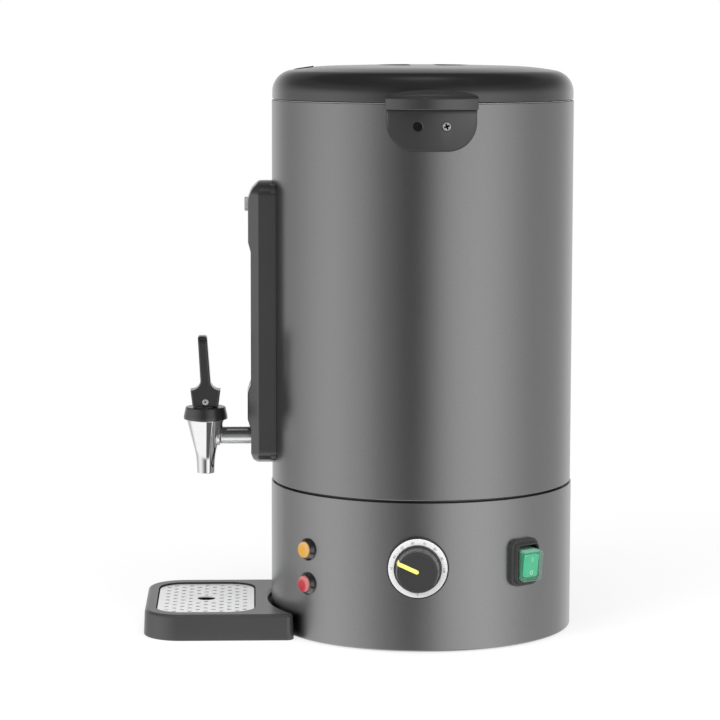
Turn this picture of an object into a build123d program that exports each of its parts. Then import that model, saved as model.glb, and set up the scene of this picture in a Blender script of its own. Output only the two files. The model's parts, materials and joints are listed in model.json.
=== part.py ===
from build123d import *
from math import cos, pi, radians, sin, sqrt
import os

# Hot drink dispenser: a double-walled boiler drum on a control base, with a sight gauge and a
# lever tap on one side and a drip tray under the tap.
# Millimetres, +Z up. The origin is on the drum's axis, on the surface that the feet stand on.
# The tap faces -X and the control panel faces -Y. A panel azimuth is counted from -Y towards +X.

# Clearances shared by every piece
overrun = 6.0
seat_gap = 0.1
travel_gap = 0.3
running_gap = 0.05
quarter_turn = 90.0
full_turn = 360.0

# Base drum and what closes it
base_step = 0.7
base_wall = 2.4
base_lift = 1.0
base_height = 115.1
base_edge = 1.6
base_deck = 2.4
deck_ledge = 20.7
plate_lift = 8.0
plate_thickness = 1.5
plate_ledge = 2.6
vent_count = 10
vent_inset = 58.7
vent_length = 26.0
vent_width = 4.0
foot_count = 4
foot_inset = 23.7
foot_radius = 11.0
foot_flare = 1.5
foot_dish_radius = 5.0
foot_dish_depth = 3.0

# Steel drum, seam ring and inner tank
drum_radius = 120.0
drum_wall = 1.0
drum_height = 303.0
drum_turn_in = 12.0
groove_height = 2.2
groove_depth = 2.6
tank_jacket = 10.0
tank_wall = 0.8
tank_lift = 7.7
tank_corner = 8.0
rim_thickness = 1.0
rod_count = 3
rod_inset = 18.0
rod_radius = 2.5
rod_tail = 3.0
nut_height = 4.0
nut_across_flats = 8.0

# Lid
lid_inset = 0.3
lid_wall = 2.5
lid_side = 5.4
lid_shoulder_radius = 17.3
lid_haunch_radius = 200.0
lid_shoulder_sweep = 79.4
lid_haunch_sweep = 8.7
skirt_gap = 1.0
skirt_wall = 2.0
skirt_drop = 10.0
seal_height = 3.0
seal_lift = 3.0
seal_groove = 0.5
pocket_radius = 36.0
pocket_bar = 19.2
pocket_depth = 15.0
pocket_corner = 5.0
pocket_floor_radius = 4.0
grip_border = 6.0
grip_flange = 3.0
vent_cap_inset = 22.7
vent_cap_radius = 7.4
vent_cap_sink = 1.0
vent_slot_count = 3
vent_slot_width = 1.6
vent_slot_length = 9.0
vent_slot_pitch = 3.6

# Carry handles
lip_half_width = 35.5
lip_reach = 12.4
lip_end_reach = 2.0
lip_front_height = 9.0
lip_front_rise = 4.2
lip_crown_rise = 6.4
lip_swell_reach = 5.6
lip_swell_rise = 4.0
lip_swell_round = 14.0
lip_wall = 2.6
lip_edge = 1.4
shield_inset = 1.2
shield_thickness = 4.2
shield_drop = 36.4
shield_corner = 22.0
handle_screw_half_pitch = 11.0
handle_screw_drop = 17.5
handle_screw_radius = 2.0
handle_head_radius = 3.7
handle_head_height = 2.4
handle_bore_radius = 4.0
handle_web = 1.8
backing_half_width = 22.0
backing_height = 18.0
backing_thickness = 2.0

# Sight gauge
gauge_lift = 14.9
gauge_height = 224.5
gauge_saddle = 1.5
gauge_saddle_inset = 0.4
gauge_saddle_end_inset = 2.2
gauge_saddle_frame = 4.6
gauge_half_width = 26.0
gauge_face_half_width = 16.0
gauge_crease = 11.1
gauge_face = 17.2
gauge_nose = 20.0
gauge_wall = 2.5
gauge_round = 4.0
gauge_back_round = 2.0
gauge_top_slope = 14.3
gauge_top_slope_depth = 10.2
gauge_top_swell_drop = 6.6
gauge_top_swell_depth = 16.6
gauge_foot_slope = 8.6
gauge_foot_slope_depth = 11.0
gauge_foot_swell_lift = 3.4
gauge_foot_swell_depth = 15.4
top_pad_rise = 2.0
top_pad_height = 34.3
top_pad_ramp = 7.3
foot_pad_rise = 2.7
foot_pad_lift = 35.7
foot_pad_height = 21.4
foot_pad_ramp = 7.5
window_half_width = 5.0
window_margin = 3.0
glass_radius = 5.0
glass_bore = 3.7
glass_depth = 8.5
glass_seat = 5.0
glass_seal_height = 3.0
glass_seal_wall = 2.6
gauge_block_half_width = 11.0
gauge_block_below = 9.6
gauge_block_above = 15.5
holder_below_screw = 13.0
holder_above_screw = 8.0
cap_screw_drop = 18.8
cap_screw_radius = 2.5
cap_head_radius = 5.65
cap_head_height = 2.8
cap_head_round = 0.9

# Tap
tap_reach = 53.6
shank_lift = 34.2
shank_radius = 7.05
shank_bore = 4.5
shank_stop = 7.6
shank_tail = 10.0
washer_radius = 11.0
washer_thickness = 1.8
shank_nut_height = 6.0
shank_nut_flats = 20.0
tap_top_rise = 13.7
tap_top_radius = 15.6
tap_waist_drop = 16.5
tap_waist_radius = 7.7
tap_outlet_drop = 30.2
tap_outlet_radius = 7.1
tap_wall = 2.3
tap_neck_radius = 13.0
tap_neck_height = 4.8
valve_seat_drop = 11.5
outlet_bore = 4.4
cup_radius = 6.2
cup_height = 5.0
collar_skirt_radius = 17.6
collar_skirt_height = 2.1
collar_top_radius = 16.0
collar_height = 9.8
collar_edge = 1.0
hub_radius = 10.0
hub_height = 0.9
stem_radius = 3.0
stem_socket = 3.0
tang_half_width = 2.4
tang_reach = 4.0
tang_foot_drop = 1.5
pivot_rise = 14.3
pin_radius = 1.5
pin_head_radius = 2.5
pin_head_height = 0.8
spring_radius = 4.7
spring_wire_radius = 0.55
spring_turns = 7
spring_end_gap = 0.2
lever_heel_half_width = 10.4
lever_shoulder_half_width = 12.0
lever_shoulder_rise = 9.4
lever_neck_rise = 17.0
lever_neck_half_width = 3.5
lever_tip_rise = 52.8
lever_tip_lean = 2.0
lever_tip_half_width = 3.4
lever_fork_width = 17.0
lever_paddle_width = 21.0
lever_paddle_corner = 6.0
lever_tip_round = 2.0
lever_slot_gap = 0.2
lever_slot_rise = 6.5

# Drip tray and grid
tray_gap = 1.9
tray_reach = 49.1
tray_half_width = 72.9
tray_height = 20.5
tray_corner = 30.0
tray_heel_corner = 6.0
tray_edge = 3.0
tray_draft = 2.0
tray_floor = 3.0
grid_length = 77.4
grid_width = 117.4
grid_corner = 20.0
grid_thickness = 1.0
grid_sink = 0.4
grid_ledge = 3.6
grid_hole_radius = 1.4
grid_column_pitch = 6.25
grid_row_pitch = 12.6
grid_column_count = 11
grid_row_count = 9
grid_centre_radius = 7.3
grid_hole_margin = 1.6
lug_spread = 40.0
lug_width = 12.0
lug_height = 3.5
lug_lift = 14.0
lug_reach = 6.0

# Thermostat dial
dial_azimuth = -4.4
dial_height = 66.8
scale_base_radius = 24.0
scale_radius = 22.8
scale_thickness = 0.8
scale_stand = 3.2
scale_edge = 0.3
bush_radius = 5.0
bush_stand = 1.6
knob_foot_radius = 17.3
knob_face_radius = 15.6
knob_height = 16.0
knob_edge = 1.2
spindle_radius = 3.0
spindle_depth = 12.0
spindle_grip = 10.0
pointer_angle = 156.0
pointer_width = 3.2
pointer_thickness = 0.8
pointer_drop = 8.0
stat_width = 36.0
stat_height = 32.0
stat_depth = 22.0
stat_strap_width = 46.0
stat_strap_height = 12.0
stat_strap_thickness = 1.2
capillary_radius = 1.1
capillary_bend = 5.0
capillary_side = 10.0
capillary_run = 14.0
capillary_under = 4.0
bulb_radius = 3.1
bulb_length = 74.0
bulb_inset = 21.0

# Pilot lamps
lamp_azimuth = -49.4
amber_height = 73.5
red_height = 46.5
bezel_radius = 8.5
bezel_face_radius = 7.1
bezel_rim = 1.0
bezel_stand = 4.6
lamp_bore = 5.4
barrel_radius = 6.2
barrel_depth = 14.0
lens_radius = 6.9
lens_rise = 2.6
lens_round = 2.0
lens_stub = 8.0
lamp_nut_radius = 9.5
lamp_nut_height = 5.0

# Rocker switch
switch_azimuth = 37.0
switch_height = 66.5
flange_width = 28.0
flange_height = 37.0
flange_corner = 7.0
flange_stand = 4.0
flange_edge = 1.2
frame_wall = 1.4
frame_depth = 12.7
opening_width = 20.4
opening_height = 27.6
opening_corner = 3.0
boot_side_gap = 0.4
boot_height = 23.5
boot_wall = 1.2
boot_corner = 3.0
boot_face_round = 1.6
boot_stand = 11.3
boot_skirt = 2.7
rocker_gap = 0.2
rocker_pivot_depth = 4.7
rocker_heel = 4.0
rocker_tilt = 6.6
trunnion_radius = 1.5
trunnion_reach = 0.5
switch_body_depth = 22.0
switch_body_inset = 0.5
blade_width = 6.3
blade_thickness = 0.8
blade_length = 8.0
blade_pitch = 14.0

# Heater and wiring pieces
element_inset = 35.0
element_radius = 4.25
element_sweep = 330.0
element_bend = 9.0
element_leg = 14.0
cutout_radius = 9.0
cutout_height = 6.0
cutout_reach = 36.0
terminal_length = 42.0
terminal_width = 20.0
terminal_height = 18.0
terminal_reach = 48.0
terminal_way_count = 3
terminal_way_pitch = 12.5
terminal_way_radius = 3.0
terminal_way_depth = 10.0
gland_height = 32.0
gland_radius = 9.0
gland_flange_radius = 12.0
gland_flange = 3.0
gland_stand = 11.4
gland_bore = 4.0
gland_depth = 8.0
gland_nut_height = 4.0
gland_taper = 1.5

# Radii, heights and depths that follow from the sizes above
base_radius = drum_radius + base_step
tank_radius = drum_radius - tank_jacket
lid_radius = drum_radius - lid_inset
deck_bore = base_radius - deck_ledge
foot_circle = base_radius - foot_inset
vent_circle = base_radius - vent_inset
rod_circle = tank_radius - rod_inset
element_circle = tank_radius - element_inset
bulb_reach = element_circle - bulb_inset
vent_cap_reach = lid_radius - vent_cap_inset
grip_radius = pocket_radius + grip_border
base_top = base_lift + base_height
base_bore = base_radius - base_wall
plate_top = plate_lift + plate_thickness
drum_bottom = base_top + groove_height
drum_top = drum_bottom + drum_height
drum_bore = drum_radius - drum_wall
rim_top = drum_top + rim_thickness
tank_bottom = drum_bottom + tank_lift
tank_bore = tank_radius - tank_wall
lid_bottom = rim_top + travel_gap
gauge_bottom = drum_bottom + gauge_lift
gauge_top = gauge_bottom + gauge_height
cap_screw_height = gauge_top - cap_screw_drop
glass_x = -(drum_radius + glass_depth)
tap_x = -(drum_radius + tap_reach)
shank_height = drum_bottom + shank_lift
tap_top = shank_height + tap_top_rise
valve_seat = shank_height - valve_seat_drop
collar_top = tap_top + collar_height
collar_roof = tap_top + tap_neck_height + seat_gap
pivot_height = tap_top + pivot_rise
heel_height = collar_top + hub_height + travel_gap
cup_top = valve_seat + seat_gap + cup_height
tray_heel_radius = base_radius + tray_gap
tray_end = tap_x - tray_reach
grid_top = tray_height - grid_sink
grid_bottom = grid_top - grid_thickness
scale_face = base_radius + scale_stand
knob_foot = scale_face + travel_gap
knob_face = knob_foot + knob_height
flange_face = base_radius + flange_stand
frame_foot = flange_face - frame_depth - flange_stand
rocker_pivot = base_radius - rocker_pivot_depth
boot_face = base_radius + boot_stand
boot_foot = base_radius - boot_skirt
boot_width = opening_width - 2 * boot_side_gap

ON_BASE = (Align.CENTER, Align.CENTER, Align.MIN)


def post(radius, low, high):
    """Upright round bar on the local Z axis."""
    return Pos(0, 0, low) * Cylinder(radius, high - low, align=ON_BASE)


def tube(outer, inner, low, high):
    """Upright tube on the local Z axis."""
    return post(outer, low, high) - post(inner, low - overrun, high + overrun)


def slab(width, height, low, high):
    """Upright block on the local Z axis."""
    return Pos(0, 0, low) * Box(width, height, high - low, align=ON_BASE)


def hex_bar(across_flats, low, high):
    """Upright hexagonal bar on the local Z axis."""
    outline = RegularPolygon(across_flats / 2, 6, major_radius=False)
    return Pos(0, 0, low) * extrude(outline, high - low)


def lathe(*points):
    """Solid turned about the Z axis from (radius, height) points."""
    return revolve(make_face(Plane.XZ * Polyline(*points, close=True)), Axis.Z)


def soft_lathe(points, rounds):
    """Turned solid whose corners, picked by their number, are rounded."""
    outline = make_face(Polyline(*points, close=True))
    for index, radius in rounds.items():
        corner = outline.vertices().sort_by_distance(points[index])[0]
        outline = fillet(corner, radius)
    return revolve(Plane.XZ * outline, Axis.Z)


def panel(azimuth, height):
    """Plane through the drum's axis: its Z runs outwards, its Y up and its X along the panel."""
    turn = radians(azimuth)
    return Plane(origin=(0, 0, height), x_dir=(cos(turn), sin(turn), 0), z_dir=(sin(turn), -cos(turn), 0))


def tapwards(height):
    """Plane through the drum's axis at a height: its Z runs towards the tap and its Y runs up."""
    return panel(-90, height)


def rods(circle, count):
    """Places of the tie rods, the first one opposite the tap."""
    return PolarLocations(circle, count)


# Base
def base_shell():
    ledge_bore = base_bore - plate_ledge
    ledge_top = plate_top + plate_ledge
    points = [
        (base_radius, base_lift),
        (base_radius, base_top),
        (deck_bore, base_top),
        (deck_bore, base_top - base_deck),
        (base_bore, base_top - base_deck),
        (base_bore, ledge_top),
        (ledge_bore, ledge_top),
        (ledge_bore, plate_top),
        (base_bore, plate_top),
        (base_bore, base_lift),
    ]
    shell = soft_lathe(points, {0: base_edge, 1: base_edge})
    reach = base_radius + overrun
    depth = base_bore - overrun
    shell -= panel(dial_azimuth, dial_height) * post(bush_radius + seat_gap, depth, reach)
    for height in (amber_height, red_height):
        shell -= panel(lamp_azimuth, height) * post(barrel_radius + seat_gap, depth, reach)
    cutout = frame_wall + seat_gap
    width = opening_width + 2 * cutout
    height = opening_height + 2 * cutout
    shell -= panel(switch_azimuth, switch_height) * slab(width, height, depth - overrun, reach)
    shell -= panel(180, gland_height) * post(gland_radius + seat_gap, depth, reach)
    return shell - lugs(lug_reach + overrun, travel_gap)


def lugs(reach, grow):
    """Two tongues on the tray's heel, or the slots they enter when grown by a clearance."""
    inner = -sqrt(base_bore**2 - lug_spread**2) + reach
    outer = -tray_heel_radius - grow
    length = inner - outer
    tongue = Box(length, lug_width + 2 * grow, lug_height + 2 * grow)
    middle = (inner + outer) / 2
    return [Pos(middle, side * lug_spread, lug_lift + lug_height / 2) * tongue for side in (-1, 1)]


def base_plate():
    plate = post(base_bore - seat_gap, plate_lift, plate_top)
    vent = extrude(SlotOverall(vent_length, vent_width), plate_top + overrun)
    for place in PolarLocations(vent_circle, vent_count):
        plate -= place * vent
    for place in rods(rod_circle, rod_count):
        plate -= place * post(rod_radius + seat_gap, 0, plate_top + overrun)
    return plate


def rubber_feet():
    foot = lathe(
        (foot_dish_radius, 0),
        (foot_radius, 0),
        (foot_radius + foot_flare, plate_lift),
        (0, plate_lift),
        (0, foot_dish_depth),
        (foot_dish_radius, foot_dish_depth),
    )
    half_step = full_turn / foot_count / 2
    feet = [place * foot for place in PolarLocations(foot_circle, foot_count, start_angle=half_step)]
    centre_pad = lathe((0, 0), (foot_radius, 0), (foot_radius + foot_flare, plate_lift), (0, plate_lift))
    return feet + [centre_pad]


def tie_rods():
    rod = post(rod_radius, rod_tail, tank_bottom)
    return [place * rod for place in rods(rod_circle, rod_count)]


def tie_nuts():
    nut = hex_bar(nut_across_flats, plate_lift - nut_height, plate_lift)
    nut -= post(rod_radius + running_gap, 0, plate_lift + overrun)
    return [place * nut for place in rods(rod_circle, rod_count)]


def seam_ring():
    return tube(drum_radius - groove_depth, drum_radius - drum_turn_in, base_top, drum_bottom)


# Drum and tank
def shank_hole(radius, inner, outer):
    """Round cutter along the shank between two distances from the drum's axis."""
    return tapwards(shank_height) * post(radius, inner, outer)


def handle_screw_places():
    """Screw axes of both handles: planes whose Z runs outwards through a screw."""
    planes = [panel(azimuth, rim_top - handle_screw_drop) for azimuth in (0, 180)]
    sides = (-handle_screw_half_pitch, handle_screw_half_pitch)
    return [plane * Pos(side, 0, 0) for plane in planes for side in sides]


def body_shell():
    flange_top = drum_bottom + drum_wall
    shell = lathe(
        (drum_radius, drum_bottom),
        (drum_radius, drum_top),
        (drum_bore, drum_top),
        (drum_bore, flange_top),
        (drum_radius - drum_turn_in, flange_top),
        (drum_radius - drum_turn_in, drum_bottom),
    )
    inner = drum_bore - overrun
    outer = drum_radius + overrun
    shell -= shank_hole(shank_radius + seat_gap, inner, outer)
    shell -= tapwards(cap_screw_height) * post(cap_screw_radius + seat_gap, inner, outer)
    for place in handle_screw_places():
        shell -= place * post(handle_screw_radius + seat_gap, inner, outer)
    return shell


def inner_tank():
    outside = post(tank_radius, tank_bottom, rim_top)
    outside = fillet(outside.edges().group_by(Axis.Z)[0], tank_corner)
    inside = post(tank_bore, tank_bottom + tank_wall, rim_top + overrun)
    inside = fillet(inside.edges().group_by(Axis.Z)[0], tank_corner - tank_wall)
    rim = tube(drum_radius - travel_gap, tank_bore, drum_top, rim_top)
    tank = outside + rim - inside
    return tank - shank_hole(shank_radius + seat_gap, tank_bore - overrun, tank_radius + overrun)


# Lid
def lid_dome(inset):
    """Solid under the lid's surface, set in by a wall: side, shoulder, haunch and crown in tangent arcs."""
    side_top = lid_bottom + lid_side
    shoulder = Vector(lid_radius - lid_shoulder_radius, side_top)
    turn = radians(lid_shoulder_sweep)
    spread = lid_haunch_radius - lid_shoulder_radius
    haunch = shoulder - spread * Vector(cos(turn), sin(turn))
    crown_start = lid_shoulder_sweep + lid_haunch_sweep
    crown_turn = radians(crown_start)
    crown_centre = haunch.Y - haunch.X * sin(crown_turn) / cos(crown_turn)
    crown_radius = lid_haunch_radius + haunch.X / cos(crown_turn)
    edge = lid_radius - inset
    arcs = [
        CenterArc(shoulder, lid_shoulder_radius - inset, 0, lid_shoulder_sweep),
        CenterArc(haunch, lid_haunch_radius - inset, lid_shoulder_sweep, lid_haunch_sweep),
        CenterArc((0, crown_centre), crown_radius - inset, crown_start, quarter_turn - crown_start),
    ]
    top = arcs[-1] @ 1
    outline = [Line((edge, lid_bottom), (edge, side_top))] + arcs
    outline.append(Polyline(top, (0, lid_bottom), (edge, lid_bottom)))
    return revolve(Plane.XZ * make_face(outline), Axis.Z)


def pocket_area(grow):
    """Two half-moon finger pockets either side of a grip bar, grown by a wall."""
    gap = Rectangle(pocket_bar - 2 * grow, 2 * (pocket_radius + grow) + overrun)
    moons = Circle(pocket_radius + grow) - gap
    return fillet(moons.vertices(), pocket_corner)


def lid():
    """Domed cover with a skirt inside the tank's mouth and a round hole for the grip."""
    dome = lid_dome(0)
    crown = dome.bounding_box().max.Z
    cavity = lid_dome(lid_wall)
    cavity += Pos(0, 0, -overrun) * post(lid_radius - lid_wall, lid_bottom, lid_bottom + overrun)
    skirt_radius = tank_bore - skirt_gap
    skirt_low = rim_top - skirt_drop
    skirt = tube(skirt_radius, skirt_radius - skirt_wall, skirt_low, crown)
    groove = seal_groove + seat_gap
    groove_low = skirt_low + seal_lift
    skirt -= tube(skirt_radius + overrun, skirt_radius - groove, groove_low, groove_low + seal_height)
    below = post(lid_radius, skirt_low - overrun, lid_bottom)
    inside = lid_dome(lid_wall / 2) + below
    shell = dome - cavity + (skirt & inside)
    return shell - post(grip_radius, lid_bottom, crown + overrun) - steam_vent(crown)


def lid_grip():
    """Round insert in the lid's crown: two finger pockets with a bar between, and a flange below."""
    dome = lid_dome(0)
    crown = dome.bounding_box().max.Z
    floor = crown - pocket_depth
    reach = crown + overrun
    plate = (dome - lid_dome(lid_wall)) & post(grip_radius - seat_gap, lid_bottom, reach)
    under = lid_dome(lid_wall + seat_gap)
    flange = (under - lid_dome(2 * lid_wall)) & post(grip_radius + grip_flange, lid_bottom, reach)
    tubs = Pos(0, 0, floor - lid_wall) * extrude(pocket_area(lid_wall), pocket_depth + lid_wall)
    bridge = (lid_dome(lid_wall / 2) - lid_dome(2 * lid_wall)) & post(pocket_radius, lid_bottom, reach)
    pockets = Pos(0, 0, floor) * extrude(pocket_area(0), pocket_depth + overrun)
    pockets = fillet(pockets.edges().group_by(Axis.Z)[0], pocket_floor_radius)
    return plate + flange + bridge + (tubs & lid_dome(lid_wall / 2)) - pockets


def steam_vent(crown):
    """Sunk disc near the lid's tap side, with slots through it."""
    column = Pos(-vent_cap_reach, 0, 0) * post(vent_cap_radius, lid_bottom, crown)
    sunk = column - lid_dome(vent_cap_sink)
    slots = GridLocations(0, vent_slot_pitch, 1, vent_slot_count)
    slot = extrude(SlotOverall(vent_slot_length, vent_slot_width), crown)
    cuts = [Pos(-vent_cap_reach, 0, lid_bottom + lid_side) * place * slot for place in slots]
    return [sunk] + cuts


def lid_seal():
    skirt_radius = tank_bore - skirt_gap
    low = rim_top - skirt_drop + seal_lift + running_gap
    high = low + seal_height - 2 * running_gap
    return tube(tank_bore - travel_gap, skirt_radius - seal_groove, low, high)


# Carry handles
def lip_arc():
    """Radius of the lip's front edge in plan and how far its centre lies from the drum's axis."""
    end = sqrt((drum_radius + lip_end_reach) ** 2 - lip_half_width**2)
    front = drum_radius + lip_reach
    rise = front - end
    radius = (rise**2 + lip_half_width**2) / (2 * rise)
    return radius, front - radius


def handle():
    """Carry handle on the -Y side: a lens-shaped lip over a shield plate."""
    radius, centre = lip_arc()
    seat = drum_radius + seat_gap
    top = rim_top + lip_front_rise
    bottom = top - lip_front_height
    swell = radius - lip_swell_reach
    slope = (lip_crown_rise - lip_swell_rise) / (lip_reach - lip_swell_reach)
    apex = top + lip_swell_rise + slope * swell
    points = [(0, bottom), (radius, bottom), (radius, top), (swell, top + lip_swell_rise), (0, apex)]
    lip = Pos(0, -centre, 0) * soft_lathe(points, {1: lip_edge, 2: lip_edge, 3: lip_swell_round})
    hollow = Pos(0, -centre, 0) * post(radius - lip_wall, bottom - overrun, top - lip_wall)
    hollow -= post(seat + shield_thickness, bottom - 2 * overrun, top + overrun)
    height = shield_drop + lip_front_rise - lip_wall
    low = rim_top - shield_drop
    outline = Pos(0, low + height / 2) * Rectangle(2 * (lip_half_width - shield_inset), height)
    outline = fillet(outline.vertices().group_by(Axis.Y)[0], shield_corner)
    reach = drum_radius + lip_reach + overrun
    shield = extrude(Plane.XZ * outline, reach)
    shield &= post(seat + shield_thickness, low - overrun, top + overrun)
    grip = lip - hollow + shield
    grip -= post(seat, low - overrun, apex + overrun)
    grip &= panel(0, rim_top) * slab(2 * lip_half_width, 2 * shield_drop + overrun, 0, reach)
    for side in (-handle_screw_half_pitch, handle_screw_half_pitch):
        axis = panel(0, rim_top - handle_screw_drop) * Pos(side, 0, 0)
        seat_depth = drum_radius + handle_web
        grip -= axis * post(handle_bore_radius, seat_depth, reach)
        grip -= axis * post(handle_screw_radius + seat_gap, drum_bore, seat_depth + overrun)
    return grip


def rear_handle():
    return Rot(0, 0, 180) * handle()


def handle_screws():
    seat = drum_radius + handle_web
    end = drum_bore - seat_gap - backing_thickness
    screw = post(handle_screw_radius, end - backing_thickness, seat)
    head = post(handle_head_radius, seat, seat + handle_head_height)
    head = fillet(head.edges().group_by(Axis.Z)[-1], handle_head_height / 2)
    screw += head
    return [place * screw for place in handle_screw_places()]


def backing_plates():
    outer = drum_bore - seat_gap
    middle = rim_top - handle_screw_drop
    low = middle - backing_height / 2
    ring = tube(outer, outer - backing_thickness, low, low + backing_height)
    plates = []
    for azimuth in (0, 180):
        window = slab(2 * backing_half_width, backing_height, tank_radius / 2, outer + overrun)
        plate = ring & (panel(azimuth, middle) * window)
        for place in handle_screw_places():
            plate -= place * post(handle_screw_radius + running_gap, outer - overrun, outer + overrun)
        plates.append(plate)
    return plates


# Sight gauge
def gauge_side(back):
    """Side outline of the gauge housing: depth from the drum against height, with its two pads."""
    top_pad = gauge_face + top_pad_rise
    foot_pad = gauge_face + foot_pad_rise
    pad_top = gauge_top - gauge_top_slope
    pad_low = pad_top - top_pad_height
    foot_low = gauge_bottom + foot_pad_lift
    foot_high = foot_low + foot_pad_height
    return [
        (back, gauge_top),
        (gauge_top_slope_depth, gauge_top),
        (gauge_top_swell_depth, gauge_top - gauge_top_swell_drop),
        (top_pad, pad_top),
        (top_pad, pad_low),
        (gauge_face, pad_low - top_pad_ramp),
        (gauge_face, foot_high + foot_pad_ramp),
        (foot_pad, foot_high),
        (foot_pad, foot_low),
        (gauge_face, foot_low - foot_pad_ramp),
        (gauge_face, gauge_bottom + gauge_foot_slope),
        (gauge_foot_swell_depth, gauge_bottom + gauge_foot_swell_lift),
        (gauge_foot_slope_depth, gauge_bottom),
        (back, gauge_bottom),
    ]


def gauge_plan(back):
    """Plan outline of the gauge housing: half width against depth, mirrored."""
    half = [
        (gauge_half_width, back),
        (gauge_half_width, gauge_crease),
        (gauge_face_half_width, gauge_nose),
    ]
    return half + [(-across, depth) for across, depth in reversed(half)]


def gauge_form(back, inset):
    """Housing block between its two outlines, set in by a wall."""
    side = make_face(Polyline(*gauge_side(back), close=True))
    fronts = side.vertices().sort_by(Axis.X)[2:]
    side = fillet(fronts, gauge_round)
    plan = make_face(Polyline(*gauge_plan(back), close=True))
    plan = fillet(plan.vertices().sort_by(Axis.Y)[2:], gauge_round)
    if inset:
        side = offset(side, amount=-inset)
        plan = offset(plan, amount=-inset)
    else:
        side = fillet(side.vertices().sort_by(Axis.X)[:2], gauge_back_round)
    outward = Plane(origin=(-drum_radius, 0, 0), x_dir=(-1, 0, 0), z_dir=(0, 1, 0))
    length = Pos(0, 0, -gauge_half_width) * extrude(side, 2 * gauge_half_width)
    upward = Plane(origin=(-drum_radius, 0, 0), x_dir=(0, 1, 0), z_dir=(0, 0, 1))
    height = extrude(plan, gauge_top + overrun)
    return (outward * length) & (upward * height)


def gauge_housing():
    housing = gauge_form(gauge_saddle, 0)
    housing -= gauge_form(gauge_saddle - gauge_wall - overrun, gauge_wall)
    reach = drum_radius + gauge_nose + overrun
    housing -= shank_hole(shank_radius + seat_gap, drum_radius, reach)
    housing -= tapwards(cap_screw_height) * post(cap_screw_radius + seat_gap, drum_radius, reach)
    low = gauge_bottom + foot_pad_lift + foot_pad_height + foot_pad_ramp - window_margin
    high = gauge_top - gauge_top_slope - top_pad_height - top_pad_ramp + window_margin
    window = SlotOverall(high - low, 2 * window_half_width, rotation=90)
    cut = Pos(0, 0, drum_radius + gauge_crease) * extrude(window, gauge_nose)
    return housing - tapwards((low + high) / 2) * cut


def gauge_gasket():
    """Saddle between the drum and the housing, flat in front and hollow to the drum behind."""
    width = 2 * (gauge_half_width - gauge_saddle_inset)
    height = gauge_height - 2 * gauge_saddle_end_inset
    middle = (gauge_bottom + gauge_top) / 2
    frame = RectangleRounded(width, height, gauge_round)
    inside = 2 * gauge_saddle_frame
    frame -= RectangleRounded(width - inside, height - inside, gauge_round)
    front = drum_radius + gauge_saddle
    saddle = tapwards(middle) * Pos(0, 0, front - gauge_half_width) * extrude(frame, gauge_half_width)
    return saddle - post(drum_radius + seat_gap, 0, gauge_top + 2 * overrun)


def sight_glass():
    low = shank_height + gauge_block_above - glass_seat
    high = cap_screw_height - holder_below_screw + glass_seat
    return Pos(glass_x, 0, 0) * tube(glass_radius, glass_bore, low, high)


def glass_seals():
    inner = glass_radius + seat_gap
    outer = inner + glass_seal_wall
    foot = shank_height + gauge_block_above
    head = cap_screw_height - holder_below_screw
    lows = (foot, head - glass_seal_height)
    return [Pos(glass_x, 0, 0) * tube(outer, inner, low, low + glass_seal_height) for low in lows]


def gauge_block():
    """Foot block that the shank feeds and the sight glass stands in."""
    back = drum_radius + gauge_saddle + washer_thickness
    front = drum_radius + gauge_face - gauge_wall - seat_gap
    low = shank_height - gauge_block_below
    height = gauge_block_below + gauge_block_above
    middle = low + height / 2
    block = tapwards(middle) * slab(2 * gauge_block_half_width, height, back, front)
    block -= shank_hole(shank_radius + seat_gap, back - overrun, front + overrun)
    top = low + height
    block -= Pos(glass_x, 0, 0) * post(glass_radius + seat_gap, top - glass_seat, top + overrun)
    return block - Pos(glass_x, 0, 0) * post(glass_bore, shank_height, top)


def gauge_top_holder():
    """Top block that caps the sight glass; the cap screw runs through it."""
    back = drum_radius + seat_gap
    front = drum_radius + gauge_face - gauge_wall - seat_gap
    low = cap_screw_height - holder_below_screw
    height = holder_below_screw + holder_above_screw
    block = tapwards(low + height / 2) * slab(2 * gauge_block_half_width, height, back, front)
    block -= tapwards(cap_screw_height) * post(cap_screw_radius + seat_gap, back - overrun, front + overrun)
    return block - Pos(glass_x, 0, 0) * post(glass_radius + seat_gap, low - overrun, low + glass_seat)


def gauge_cap_screw():
    seat = drum_radius + gauge_face + top_pad_rise
    head = post(cap_head_radius, seat, seat + cap_head_height)
    head = fillet(head.edges().group_by(Axis.Z)[-1], cap_head_round)
    shaft = post(cap_screw_radius, drum_bore - backing_thickness, seat)
    return tapwards(cap_screw_height) * (head + shaft)


# Tap
def tap_shank():
    """Threaded feed pipe from the tank to the tap, drilled up into the gauge block."""
    inner = tank_bore - shank_tail
    outer = -tap_x - shank_stop
    pipe = tapwards(shank_height) * tube(shank_radius, shank_bore, inner, outer)
    feed = post(glass_bore / 2, shank_height, shank_height + shank_radius + overrun)
    return pipe - Pos(glass_x, 0, 0) * feed


def shank_spacer():
    spacer = tapwards(shank_height) * tube(washer_radius, shank_radius + seat_gap, tank_bore, drum_radius)
    spacer &= post(drum_bore - seat_gap, tank_bottom, drum_top)
    return spacer - post(tank_radius + seat_gap, 0, rim_top)


def shank_washers():
    """Rubber washers: one outside the drum, one inside the tank, each cut to the curve it seals on."""
    hole = shank_radius + seat_gap
    outer_face = drum_radius + gauge_saddle + washer_thickness - seat_gap
    outside = tapwards(shank_height) * tube(washer_radius, hole, drum_bore, outer_face)
    outside -= post(drum_radius + seat_gap, 0, rim_top)
    inner_face = tank_bore - washer_thickness - seat_gap
    inside = tapwards(shank_height) * tube(washer_radius, hole, inner_face, tank_bore)
    inside &= post(tank_bore - seat_gap, tank_bottom, rim_top)
    return [outside, inside]


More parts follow.
